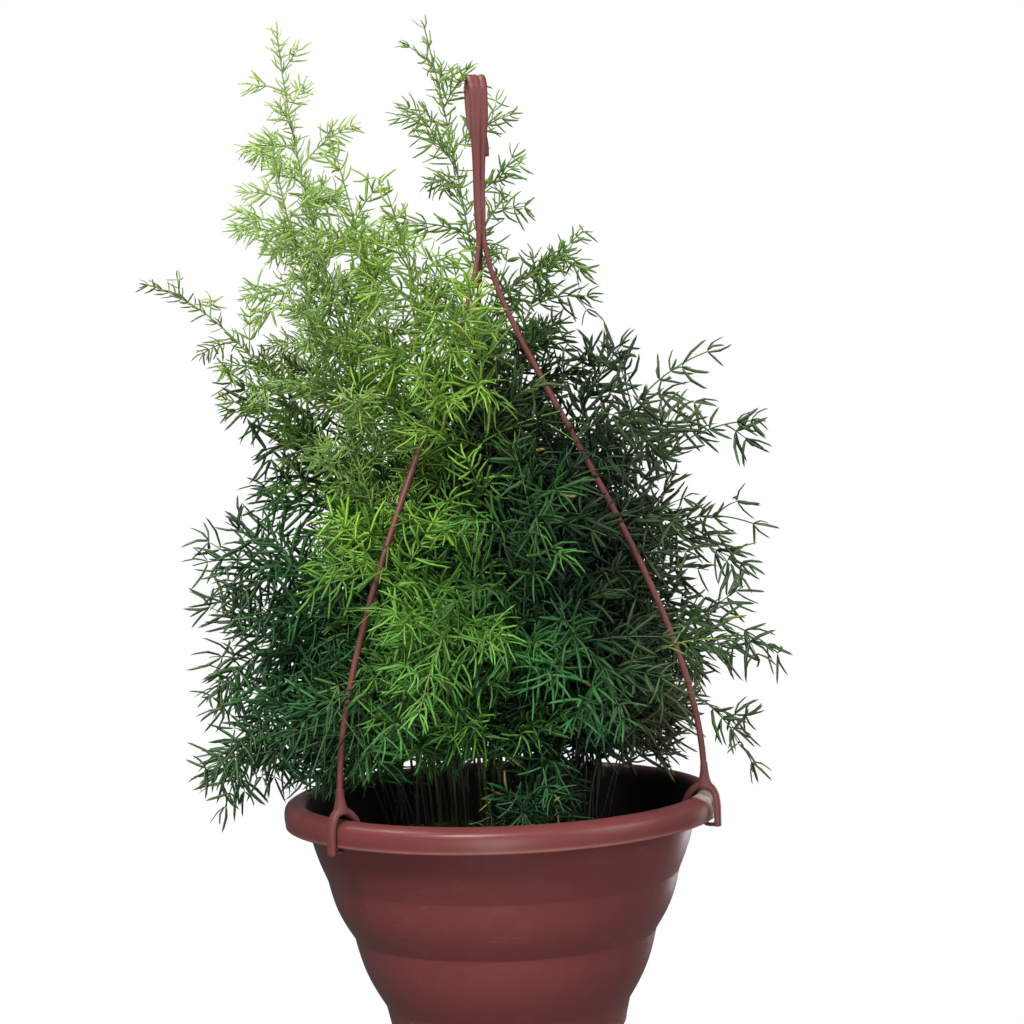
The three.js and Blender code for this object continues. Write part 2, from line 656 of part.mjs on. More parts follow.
// The stem's middle line: straight up out of its hole in the soil, then over in one arch to its tip.
function stemLine({ root, tip, pitch, rise, reach }) {
  const mouth = new THREE.Vector3(...root, SOIL.top);
  const end = new THREE.Vector3(...tip);
  const heading = end.clone().sub(mouth).setZ(0).normalize();
  const angle = THREE.MathUtils.degToRad(pitch);
  const atTip = heading.clone().multiplyScalar(Math.cos(angle)).addScaledVector(UP, Math.sin(angle));
  const arch = new THREE.CubicBezierCurve3(
    mouth,
    mouth.clone().addScaledVector(UP, rise),
    end.clone().addScaledVector(atTip, -reach),
    end,
  );
  const foot = mouth.clone().addScaledVector(UP, -SOIL.rootDepth);
  const points = [foot, ...arch.getSpacedPoints(STEM.steps)];
  return frames(points, heading);
}

// A twig leaves the stem at `distance`, at an angle, and sags a little towards its end.
function twigLine(stem, distance, azimuth, length) {
  const { point, normal, along, side } = stationAt(stem, distance);
  const away = normal.clone().multiplyScalar(Math.cos(azimuth)).addScaledVector(side, Math.sin(azimuth));
  const first = along.clone().multiplyScalar(Math.cos(TWIG.lean)).addScaledVector(away, Math.sin(TWIG.lean));
  const final = first.clone().addScaledVector(UP, -TWIG.sag).normalize();
  const bend = point.clone().addScaledVector(first, length / 2);
  const end = bend.clone().addScaledVector(final, length / 2);
  const points = new THREE.QuadraticBezierCurve3(point, bend, end).getSpacedPoints(TWIG.steps);
  return frames(points, along);
}

// Twigs are longest a third of the way up the leafy part and shorten towards the tip.
const twigLength = (share, longest) => longest * Math.sin(Math.PI * (0.22 + 0.72 * share)) ** 0.7;

// How far up the stem each twig leaves it.
function twigPlaces({ stem, line }) {
  const total = lengthOf(line);
  return Array.from({ length: stem.twigs }, (_, k) => (
    THREE.MathUtils.lerp(total * stem.bare, total - TWIG.fromTip, (k + 0.5) / stem.twigs)));
}

function twigRod(name, line, azimuth) {
  const whorls = evenly(TWIG.firstWhorl, lengthOf(line) - TWIG.lastWhorl, TWIG.whorlStep);
  const stops = whorls.map((distance) => ({ distance, whorl: true }));
  return { name, line, azimuth, stops, radius: TWIG.radius, taper: TWIG.taper, needle: NEEDLE.length };
}

// The twigs of a plant. Each is turned a little where it would meet something, or left out.
function makeTwigs(plant) {
  const { stem, line, name, phase } = plant;
  return twigPlaces(plant).map((distance, k) => {
    const rod = `${name} twig ${k}`;
    const length = twigLength((k + 0.5) / stem.twigs, stem.twig);
    for (const turn of TWIG.turns) {
      const azimuth = phase + k * TWIG.step + turn;
      const branch = twigLine(line, distance, azimuth, length);
      const points = branch.map((s) => s.point);
      const free = points.slice(1).every((p, i) => (
        isClear(points[i], p, TWIG.radius, i === 0 ? [name, rod] : [rod])));
      if (free) {
        placeLine(points, TWIG.radius, rod);
        return { distance, twig: twigRod(rod, branch, azimuth) };
      }
    }
    return { distance };
  });
}

function makePlantGeometry({ stem, line, name, twigs }) {
  const total = lengthOf(line);
  const step = twigs[1].distance - twigs[0].distance;
  const leafyFrom = twigs[0].distance - step / 2;
  const firstRing = Math.min(SOIL.rootDepth + STEM.firstRing, leafyFrom);
  const bare = [0, SOIL.rootDepth, ...evenly(firstRing, leafyFrom, STEM.ringStep)];
  const stops = [
    ...bare.map((distance) => ({ distance })),
    ...twigs.flatMap(({ distance, twig }) => [
      { distance, twig, whorl: !twig },
      { distance: distance + step / 2, whorl: true },
    ]),
  ].filter(({ distance }) => distance < total - NEEDLE.length / 2);
  const shape = { points: [], triangles: [] };
  const needle = NEEDLE.length * NEEDLE.onStem;
  growRod(shape, { line, name, stops, radius: STEM.radius, taper: STEM.taper, needle });
  return geometryFrom(shape.points, shape.triangles);
}

// ---------------------------------------------------------------- Assembly

function addMesh(parent, name, geometry, tone) {
  geometry.translate(0, 0, -HOOK.seat);
  const mesh = new THREE.Mesh(geometry, new THREE.MeshStandardMaterial(COLOURS[tone]));
  mesh.name = name;
  parent.add(mesh);
}

const plants = STEMS.map((stem, index) => ({
  stem,
  name: stem.name,
  line: stemLine(stem),
  phase: index * GOLDEN_ANGLE,
}));

const holder = new THREE.Group();
addMesh(holder, 'pot', makePot(), 'terracotta');
addMesh(holder, 'soil', makeSoil(plants), 'soil');
addMesh(holder, 'hanger_hook', makeHook(), 'terracotta');
for (const [side, degrees] of Object.entries(ARM.azimuths)) {
  addMesh(holder, `hanger_arm_${side}`, makeArm(degrees), 'terracotta');
  placeLine(armLine(THREE.MathUtils.degToRad(degrees)), ARM.thickness / 2, 'hanger');
}
placeLine(hookLine().map(([x, y, z]) => new THREE.Vector3(x, y, z)), HOOK.width / 2 + 2, 'hanger');

plants.forEach(({ line, name }) => placeLine(line.map((s) => s.point), STEM.radius, name));
plants.forEach((plant) => {
  plant.twigs = makeTwigs(plant);
});

const plantGroup = new THREE.Group();
plants.forEach((plant) => addMesh(plantGroup, plant.name, makePlantGeometry(plant), plant.stem.tone));

const fern = new THREE.Group();
fern.add(holder, plantGroup);

export default fern;
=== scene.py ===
"""Finishes a foxtail fern in its hanging plastic pot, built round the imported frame.

The pieces are the pot, the hanger, the soil and one piece for each leafy stem. Shapes are worked out in
millimetres, with heights above the pot's base, as a maker would note them. level() and place() move them
into the frame, in metres. The settings, the node trees and the stage are in metres.
"""

import math
import random
from functools import cached_property

import bmesh
import bpy
from bpy.props import FloatProperty, FloatVectorProperty, IntProperty, PointerProperty
from bpy.types import Operator, Panel, PropertyGroup
from mathutils import Matrix, Vector
from mathutils.kdtree import KDTree


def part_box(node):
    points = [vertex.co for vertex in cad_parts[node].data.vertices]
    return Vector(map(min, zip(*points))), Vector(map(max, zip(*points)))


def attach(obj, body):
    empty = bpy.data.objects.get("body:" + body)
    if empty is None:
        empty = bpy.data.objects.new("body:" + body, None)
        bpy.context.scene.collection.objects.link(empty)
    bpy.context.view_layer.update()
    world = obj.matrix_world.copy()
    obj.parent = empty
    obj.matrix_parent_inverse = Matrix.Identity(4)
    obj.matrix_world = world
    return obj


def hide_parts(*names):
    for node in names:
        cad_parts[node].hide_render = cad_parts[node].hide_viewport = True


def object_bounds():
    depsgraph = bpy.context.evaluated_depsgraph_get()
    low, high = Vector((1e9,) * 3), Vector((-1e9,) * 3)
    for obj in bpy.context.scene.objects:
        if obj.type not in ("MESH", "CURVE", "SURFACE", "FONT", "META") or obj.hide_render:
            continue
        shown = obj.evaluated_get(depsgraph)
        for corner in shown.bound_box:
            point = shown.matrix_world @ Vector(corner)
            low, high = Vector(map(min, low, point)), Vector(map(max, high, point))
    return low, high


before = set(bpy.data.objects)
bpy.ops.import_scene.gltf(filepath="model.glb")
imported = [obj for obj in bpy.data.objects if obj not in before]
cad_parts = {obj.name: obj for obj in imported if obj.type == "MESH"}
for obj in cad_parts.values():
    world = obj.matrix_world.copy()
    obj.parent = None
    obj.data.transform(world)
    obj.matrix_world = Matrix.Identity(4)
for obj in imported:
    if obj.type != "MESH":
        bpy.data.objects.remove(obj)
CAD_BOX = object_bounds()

bl_info = {
    "name": "Hanging Foxtail Fern",
    "version": (1, 0, 0),
    "blender": (4, 5, 0),
    "location": "View3D > Sidebar > Fern",
    "description": "Adds the pot, hanger, soil and leafy stems of a hanging foxtail fern",
    "category": "Add Mesh",
}

MM = 0.001
BASE_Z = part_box("pot")[0].z
SOIL_TOP = (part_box("soil")[1].z - BASE_Z) / MM
HOOK_SEAT = -BASE_Z / MM
RIM_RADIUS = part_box("pot")[1].x / MM
HANGER_NODES = ("hanger_hook", "hanger_arm_left", "hanger_arm_right", "hanger_arm_back")

# ---------------- Sizes, in millimetres

# Outlines are [radius, height] points.
POT_CREASES = ((73.5, 20), (90.8, 62), (105.5, 97), (116.5, 131))
POT_BULGES = (2.4, 2.2, 1.0)
POT_BASE_RADIUS = 62
POT_CORNER_RADIUS = 9
UNDER_RIM = ((117.8, 133.5), (120, 140), (124, 142), (127.2, 138.5), (126.9, 130.5))
OVER_RIM = (
    (129.4, 130.5), (RIM_RADIUS, 137.5), (128.5, 142.3), (122.5, 145), (118.6, 143.6), (116.3, 139),
)
# A point of the rim counts as an inner face within the first radius, and no more from the second one on.
RIM_INNER_FACE = (118, 121)
# The lip's edge lies below the first height, and has ended at the second one.
LIP_EDGE = (130.9, 132.6)
# Stretches of line round the foot's corner and up each tier, and the share of it at each end that is its
# crease.
CORNER_STEPS = 8
TIER_STEPS = 12
CREASE = 0.015

SOIL_RADIUS = 107
SOIL_GAP = 0.4
# How far in from its radius and down from its top the filling's side ends, and so the points of its edge.
SOIL_SIDE_END = (2, 6)
SOIL_EDGE = ((0, 2), (6, 0.6))
# The depth of the filling's top that is roughened and bears crumbs.
SOIL_SKIN = 3
SOIL_RINGS = 26
SOIL_SEGMENTS = 96
ROOT_DEPTH = 14
# Noise above this raises the soil's top, and noise below it lowers it.
SOIL_LEVEL = 0.62
# A crumb has the first share of the size that is set, and up to the second one more, which few reach. Its
# other sides have these shares of that.
CRUMB_SHARES = (0.3, 0.9)
CRUMB_FLATNESS = (0.45, 1)

# The hook's band from the junction of the strands upwards: sideways, depth, height, width, thickness.
BAND_FRONT = (
    (0, 0, 469, 1.6, 1.6),
    (0, 0, 478, 4.4, 4.2),
    (0, 0, 488, 6.4, 5.4),
    (0, 0, 500, 6.7, 4.8),
    (0, -1.2, 513, 7.1, 4.2),
    (0, -3.4, 525, 8, 3.8),
    (0, -5.8, 536, 9.6, 3.5),
    (0, -7.9, 547, 11, 3.4),
)
BAND_BACK = (
    (0.4, 8.3, 550, 11, 3.4),
    (1.2, 6.6, 540, 10.4, 3.4),
    (2.4, 4.3, 531, 9.6, 3.4),
    (3.4, 3, 524.5, 7.4, 2.8),
)
BAND_WIDTH = 11
BAND_THICKNESS = 3.4
LOOP_RADIUS = 8.7
HOOK_TURN = math.radians(10)

# The band's section, once round: share of the width, share of the thickness, and how far the surface
# falls below that in the ribs and grooves.
BAND_SECTION = (
    (-0.44, -0.5, 0), (-0.5, -0.3, 0), (-0.5, 0.12, 0), (-0.47, 0.38, 0.3), (-0.4, 0.5, 0.3),
    (-0.3, 0.5, 0.05), (-0.23, 0.5, 0.1), (-0.17, 0.5, 0.36), (-0.11, 0.5, 0.1), (-0.02, 0.5, 0.05),
    (0.04, 0.5, 0.35), (0.09, 0.5, 0.95), (0.12, 0.5, 1.3), (0.15, 0.5, 0.95), (0.2, 0.5, 0.35),
    (0.28, 0.5, 0.05), (0.38, 0.5, 0.1), (0.46, 0.4, 0.3), (0.5, 0.12, 0), (0.5, -0.3, 0),
    (0.44, -0.5, 0),
)
# The full depth of its relief, the share of it that is lost over the loop, and between which heights.
RELIEF = 1.1
RELIEF_LOST = 0.5
RELIEF_BETWEEN = (515, 560)
LOOP_STEPS = 8

ARM_AZIMUTHS = tuple(math.radians(a) for a in (223.4, 343.4, 103.4))
ARM_FOOT = (125, 156)
ARM_HEAD = (1.9, 478)
ARM_HANDLES = (113, 60)
ARM_ENDS = ((1.8, 488), (1.4, 500), (0.8, 512))
# A strand gets thinner by this share from this height upwards.
STRAND_TAPER = 0.25
STRAND_TAPERS_FROM = 380

CLIP_LEG = RIM_RADIUS + 2.3
CLIP_LINE = (
    (CLIP_LEG, 126), (CLIP_LEG, 132), (CLIP_LEG, 138), (131.4, 144.5), (128.8, 149), (125, 151),
    (120.6, 150), (116.6, 146.6), (113.6, 141.5), (112.3, 136), (110.7, 131.5),
)
CLIP_CROWN = ((125, 149, 7, 10), (125, 153, 6.2, 7.2), (125, 158, 4.8, 5), (125, 164, 4.1, 4.1))
CLIP_BARB = (
    (133.4, 127.4, 5, 2), (129, 127.1, 5, 2), (125.8, 127.3, 5, 2), (124.2, 128.8, 5, 2.1),
    (123.8, 131.4, 5, 2.1), (124, 135, 5, 1.9),
)
# The corners of a fork's rounded section, and how square it is.
BAR_CORNERS = 12
BAR_SQUARENESS = 4

# The leafy stems: name, tone, root on the soil, tip, pitch of the tip in degrees, how far the stem keeps
# its first and last direction, the bare share of its length, how many main twigs it has, the longest one,
# and the length of its needles.
STEMS = (
    ("tall_left", "pale", (-30, 9), (-117, 12, 602), 86, 150, 150, 0.42, 6, 58, 11.5),
    ("tall_left_side", "pale", (-36, -12), (-119, -34, 536), 84, 130, 100, 0.42, 5, 56, 11.5),
    ("crown", "mid", (17, 25), (-30, 46, 606), 76, 200, 110, 0.34, 6, 68, 12.5),
    ("crown_right", "mid", (28, 24), (62, 40, 480), 36, 170, 110, 0.34, 5, 76, 13),
    ("thin_left", "bright", (-46, 0), (-201, -10, 456), 14, 120, 95, 0.42, 5, 44, 9.5),
    ("upper_left", "bright", (-22, -14), (-82, -26, 524), 76, 150, 110, 0.28, 5, 76, 16),
    ("upper_middle", "bright", (-12, -28), (-52, -58, 500), 70, 150, 110, 0.26, 5, 76, 17),
    ("upper_front", "bright", (-1, -38), (-8, -74, 452), 50, 150, 90, 0.26, 5, 74, 17.5),
    ("front_middle", "bright", (-8, -54), (-42, -142, 212), -52, 150, 100, 0.3, 5, 68, 18.5),
    ("front_left", "bright", (-26, -44), (-92, -118, 292), -10, 120, 80, 0.28, 5, 74, 18.5),
    ("front_right", "mid", (12, -52), (38, -128, 330), -5, 150, 70, 0.28, 5, 74, 19),
    ("low_front_right", "dark", (28, -48), (72, -132, 196), -58, 130, 100, 0.3, 4, 66, 20),
    ("low_front_left", "mid", (-40, -34), (-104, -116, 176), -62, 120, 100, 0.3, 4, 66, 18),
    ("front_low", "gold", (16, -70), (30, -96, 158), -30, 40, 22, 0.3, 3, 34, 17),
    ("left_high", "dark", (-52, 14), (-154, 28, 396), 30, 130, 80, 0.26, 5, 72, 20),
    ("left_middle", "dark", (-60, -6), (-178, -8, 288), -14, 120, 80, 0.26, 5, 72, 20),
    ("left_low", "dark", (-58, 24), (-175, 36, 204), -48, 110, 100, 0.28, 5, 68, 19),
    ("left_drooping", "dark", (-54, -26), (-160, -50, 150), -72, 90, 100, 0.3, 4, 60, 18),
    ("right_high", "dark", (34, 12), (134, 24, 404), 18, 160, 80, 0.26, 5, 74, 19),
    ("right_arching", "dark", (42, -6), (164, -12, 362), -4, 140, 90, 0.28, 5, 68, 18.5),
    ("right_middle", "dark", (46, 26), (160, 40, 298), -22, 130, 80, 0.28, 5, 72, 19),
    ("right_low", "dark", (56, 6), (169, 4, 222), -42, 100, 90, 0.3, 5, 64, 18.5),
    ("right_drooping", "mid", (50, -26), (146, -58, 166), -64, 90, 90, 0.34, 4, 52, 17),
    ("right_young", "pale", (38, -34), (136, -84, 240), -6, 90, 60, 0.62, 3, 26, 11),
    ("inner_right", "dark", (24, -20), (78, -44, 388), 40, 150, 80, 0.26, 5, 76, 18.5),
    ("inner_back_right", "dark", (24, 30), (84, 66, 410), 44, 150, 80, 0.26, 5, 74, 18.5),
    ("back_high", "mid", (0, 42), (14, 92, 432), 44, 150, 80, 0.26, 5, 74, 18.5),
    ("back_high_left", "mid", (-26, 32), (-76, 78, 438), 46, 150, 80, 0.26, 5, 74, 18.5),
    ("back_middle", "dark", (-6, 58), (-20, 146, 286), -22, 140, 80, 0.28, 5, 74, 18.5),
    ("back_left", "dark", (-38, 44), (-112, 116, 318), 2, 130, 80, 0.28, 5, 74, 18.5),
    ("back_right", "dark", (26, 52), (88, 126, 326), 0, 130, 80, 0.28, 5, 74, 18.5),
    ("back_low_left", "mid", (-24, 66), (-86, 142, 184), -58, 110, 90, 0.3, 4, 64, 18.5),
    ("back_low_right", "mid", (44, 50), (128, 122, 198), -54, 110, 90, 0.3, 4, 64, 18.5),
)

# Twigs: each main twig is joined by three more, a golden angle apart, so every fourth is a main one.
GOLDEN_ANGLE = math.radians(137.508)
STEM_TURN = math.pi * (3 - math.sqrt(5))
TWIGS_PER_MAIN = 4
LAST_TWIG = 24
# Their lengths along a stem follow a half wave, from this share of it and over this much, to a power.
TWIG_WAVE = (0.22, 0.72)
TWIG_FULLNESS = 0.7
TWIG_LEAN = math.radians(52)
TWIG_SAG = 0.45
TWIGLET_LEAN = 0.8
TWIGLET_SAG = TWIG_SAG * 0.6
# How far twigs stray from that: their turn and lean either way, and shares of their length and sag.
TURN_STRAY = 0.2
LEAN_STRAY = 0.18
LENGTH_SHARES = (0.75, 1.08)
SAG_SHARES = (0.5, 1.4)
# Twiglets leave a twig from the first share of its length, over the second one, and have these lengths.
TWIGLETS_ALONG = (0.2, 0.6)
TWIGLET_SHARES = (0.26, 0.44)
# A twig with fewer points left than this goes.
FEWEST_POINTS = 3
# A twig of this length or less bears no twiglets.
TWIGLETS_FROM = 28
# The bare length at the foot of a twig and of a twiglet.
BARE_TWIG = 6
BARE_TWIGLET = 4
# The largest share of the twigs and the twiglets that is left out, at the edge of the bush.
TWIGS_LOST = 0.9
TWIGLETS_LOST = 0.7

# Thickness at the foot and at the tip.
STEM_THICKNESS = (1.8, 0.8)
SHOOT_THICKNESS = (1.2, 0.7)
TWIG_THICKNESS = (1.2, 0.5)
TWIGLET_THICKNESS = (0.85, 0.5)
# A stem's needles begin just below its first twig, at this share of its bare length.
NEEDLES_BEGIN = 0.97
# The needles at the tip of a stem and of a twig, as a share of the others.
STEM_TIP_NEEDLES = 0.6
TWIG_TIP_NEEDLES = 0.62

# The thinner shoots beside a stem end at these shares of its length. Dark stems have the third one too.
COMPANIONS = (0.52, 0.72, 0.62)
COMPANION_SHARES = (0.94, 1.06)
# A stem has them if it and its longest twig are at least this long.
COMPANY_FROM = (150, 60)
# How far a shoot stands from the stem's root, how deep it goes, and how far from the stem it ends.
SHOOT_APART = 9
SHOOT_DEPTH = 5
SHOOT_ENDS_APART = (14, 26)
# The rise of a shoot, as a share of its length, how much it starts upwards, and its reach at the tip.
SHOOT_RISE = 0.4
SHOOT_UPWARDS = 0.5
SHOOT_REACH = 40
# The share of a shoot where its needles and its twigs begin, how far from the tip the last twig is, the
# number of twigs, and their length as a share of the stem's.
SHOOT_BARE = 0.5
SHOOT_TWIGS_FROM = 0.45
SHOOT_LAST_TWIG = 16
SHOOT_TWIGS = 8
SHOOT_TWIG_LENGTH = 0.75

# Twigs stay this far from everything, in the plant's box by two and three times as much, and further still
# from a strand's middle line by its radius.
ROOM = 3
BOX_ROOMS = (2, 3)
STRAND_RADIUS = 2
# The rim lies between these distances from its outer edge, and its top below these heights, on its inner
# side and over it.
RIM_SIDES = (-14, 5)
RIM_TOP_INSIDE = 146
RIM_TOP = 150
# Over the middle of the pot twigs stay above the first height, so that the bare stems show, unless their
# stem ends lower. Away from there, between these distances to its side, they may come down to the soil.
LOWEST_TWIG = 172
BARE_CENTRE = -27
BARE_BETWEEN = (38, 62)
SEED = 7
# The steps between two stems' seeds are larger than the number of draws that a tree makes.
SEED_STEP = 40

# Young growth is short, fine and pale. It begins at this height and is fully young at the second one.
YOUNG_FROM = 330
YOUNG_AT = 590
# The bush is full round this place from left to right, and thins out between these distances from it.
BUSH_CENTRE = -34
FULL_WITHIN = 90
THIN_BEYOND = 172
# The share of the needles that is lost at its edge, and the one that is lost where it is fully young.
EDGE_LOSS = 0.35
YOUNG_LOSS = 0.15
# Its needles are weathered between these distances, in which depth counts less than width.
WEATHERED_BETWEEN = (88, 142)
WEATHERED_DEPTH = 0.4
# Its painted-shade heart stands here, between these heights, and ends between these distances from its
# middle line.
HEART = (40, 0)
HEART_HEIGHTS = (150, 345)
HEART_EDGE = (56, 100)
# Its right side is in the shade past the first line of [height, place from left to right], and its left
# side past the second one, up to the last heights. The shade deepens over the widths, to these shares.
SHADED_RIGHT = ((150, 56), (225, 46), (285, 6), (325, -10), (350, 12), (430, 18))
SHADED_LEFT = ((150, -60), (235, -68), (290, -84), (400, -90))
SHADED_LEFT_TOP = (385, 430)
RIGHT_SHADE_WIDTH = (-8, 14)
LEFT_SHADE_WIDTH = (-10, 26)
RIGHT_SHADE = 0.9
LEFT_SHADE = 0.6
# The sprays that reach this far forward on the right are lit again by this share, up to the last heights.
LIT_FRONT = (88, 118)
LIT_FRONT_SHARE = 0.7
LIT_FRONT_TOP = (305, 325)
# The crown has at least this share of the light, from between these heights.
LIT_CROWN = 0.8
LIT_CROWN_FROM = (425, 470)
# The two front strands are kept bare of needles up to these heights, and a little less above them. None
# grow within the first distance in front of them, and all do from the second one on.
BARED_TO = (318, 600)
BARED_FADE = 30
BARED_WIDTH = (4, 20)

# How far a needle's tip lies to one side, in its thicknesses and widths.
NEEDLE_BEND = (5, 2)
# How much of a needle's points are drawn towards its ends, and how blunt its ends are.
NEEDLE_ENDS = 0.12
NEEDLE_BLUNTNESS = 0.3
# How far a needle looks for something in its way, in lengths.
NEEDLE_REACH = 1.5
# A whorl has from the first number of needles up to one less than the second.
WHORL = (3, 6)
# Between what needles vary: the angles at which they lean away from their stem, stray round it and twist,
# the shares of their usual length and width, and the shares of their width that their thickness has.
NEEDLE_LEANS = (0.75, 1.5)
NEEDLE_STRAYS = (-0.5, 0.5)
NEEDLE_TWISTS = (-1.3, 1.3)
NEEDLE_LENGTHS = (0.9, 1.45)
NEEDLE_WIDTHS = (0.8, 1.15)
NEEDLE_THICKNESSES = (0.5, 0.85)
# Young needles lean this much less.
YOUNG_LEAN = 0.15
# Long needles are broader: their width is the usual one times the first number plus the second one times
# their length in metres.
WIDTH_SHARES = (0.3, 45)
# Needles in the shade are broader by this share.
SHADE_BREADTH = 0.3
NEEDLE_STEPS = 5
NEEDLE_CORNERS = 3
ROD_CORNERS = 4
# Whorls stand closer on pale stems, by this share.
PALE_SPACING = 0.74

# ---------------- Colours and finishes

# For each tone: the deep and light colours of its needles, of its young needles and of its weathered
# outer ones, the share of dry ones, and how far the outer ones have weathered.
# The tones are partly the needles' own colour and partly painted light and shade: bright stems stand at
# the lit front, dark ones on the shaded sides and at the back.
TONES = {
    "pale": ((0.14, 0.28, 0.05), (0.42, 0.64, 0.18), (0.60, 0.76, 0.30), (0.4, 0.6, 0.2), 0.003, 0),
    "bright": ((0.045, 0.15, 0.018), (0.33, 0.66, 0.07), (0.47, 0.62, 0.14), (0.15, 0.15, 0.06), 0.003,
               0.85),
    "mid": ((0.009, 0.04, 0.011), (0.13, 0.38, 0.06), (0.35, 0.50, 0.12), (0.1, 0.11, 0.045), 0.003, 0.8),
    "dark": ((0.010, 0.042, 0.014), (0.07, 0.24, 0.05), (0.18, 0.27, 0.08), (0.10, 0.145, 0.065), 0.002,
             0.8),
    "gold": ((0.010, 0.045, 0.018), (0.06, 0.19, 0.06), (0.20, 0.26, 0.07), (0.1, 0.1, 0.04), 0.07, 0),
}
DRY_COLOUR = (0.42, 0.30, 0.07)
# The light needles turn cooler below these heights.
COOL_COLOUR = (0.06, 0.27, 0.09)
COOL_BETWEEN = (230, 330)
SHADE_COLOUR = (0.004, 0.014, 0.006)
# Stems are brown below these heights, and green above them.
BROWN_COLOUR = (0.036, 0.034, 0.021)
BROWN_BETWEEN = (120, 300)
YOUNG_STEM_COLOUR = (0.22, 0.26, 0.09)

SOIL_COLOURS = ((0.006, 0.005, 0.004), (0.045, 0.03, 0.02))
FIBRE_COLOUR = (0.12, 0.07, 0.035)
DUST_COLOUR = (0.44, 0.3, 0.27)
# Painted shade inside the pot, dark up to a ragged line between these heights.
INNER_SHADE_COLOUR = (0.012, 0.009, 0.008)
INNER_SHADE_BETWEEN = (142, 149)
LIP_COLOUR = (0.42, 0.2, 0.18)
SCUFF_COLOUR = (0.36, 0.22, 0.2)
SCUFFS_BETWEEN = (2, 24)
# Limescale lies round this radius and height under the right clip, as far as the last size.
LIME_COLOUR = (0.6, 0.53, 0.43)
LIME_AT = (123, 144)
LIME_RADIUS = 13
# The roughness of what covers the plastic.
MATT = 0.9


def length_setting(name, description, default, smallest=0):
    return FloatProperty(
        name=name, description=description, default=default, min=smallest, unit="LENGTH", precision=4,
    )


def plastic_setting(default):
    return FloatVectorProperty(
        name="Colour", description="Colour of the plastic", default=default, subtype="COLOR", size=3,
        min=0, max=1,
    )


def share_between(value, low, high):
    """How far a value lies from low to high, as a share from 0 to 1."""
    return min(1, max(0, (value - low) / (high - low)))


def level(height):
    """A height in millimetres above the pot's base, in the frame and in metres."""
    return height * MM + BASE_Z


def place(x, y, height):
    """A point given in millimetres above the pot's base, in the frame and in metres."""
    return Vector((x * MM, y * MM, level(height)))


# ---------------- Nodes as arithmetic


def arithmetic(operation, swapped=False):
    """A method that adds a Math node for a value and another one, swapped round if asked."""

    def method(self, other):
        return self.writer.math(operation, *((other, self) if swapped else (self, other)))

    return method


class Value:
    """A node's output. Arithmetic on it adds Math nodes."""

    __add__, __radd__ = arithmetic("ADD"), arithmetic("ADD", swapped=True)
    __sub__, __rsub__ = arithmetic("SUBTRACT"), arithmetic("SUBTRACT", swapped=True)
    __mul__, __rmul__ = arithmetic("MULTIPLY"), arithmetic("MULTIPLY", swapped=True)
    __truediv__ = arithmetic("DIVIDE")
    __pow__ = arithmetic("POWER")

    def __init__(self, writer, socket):
        self.writer = writer
        self.socket = socket

    def __getitem__(self, name):
        """Another output of the same node."""
        return Value(self.writer, find_socket(self.socket.node.outputs, name))

    def math(self, operation, *values):
        return self.writer.math(operation, self, *values)


def find_socket(sockets, key):
    """The socket at an index or with a name, among those that the node's settings leave in use."""
    used = [s for s in sockets if s.enabled]
    if isinstance(key, int):
        return used[key]
    return next(s for s in used if s.name == key)


class NodeWriter:
    """Adds nodes to a tree."""

    def __init__(self, tree):
        self.tree = tree

    def node(self, kind, settings=None, sockets=None, output=0):
        """Adds a node, sets it up, then fills its sockets with numbers or links."""
        node = self.tree.nodes.new(kind)
        for name, value in (settings or {}).items():
            setattr(node, name, value)
        for key, value in (sockets or {}).items():
            socket = find_socket(node.inputs, key)
            for item in value if isinstance(value, list) else [value]:
                if isinstance(item, Value):
                    self.tree.links.new(item.socket, socket)
                else:
                    socket.default_value = item
        return Value(self, find_socket(node.outputs, output)) if node.outputs else node

    def math(self, operation, *values):
        return self.node("ShaderNodeMath", {"operation": operation}, dict(enumerate(values)))

    def vector(self, x, y, z):
        return self.node("ShaderNodeCombineXYZ", None, {0: x, 1: y, 2: z})


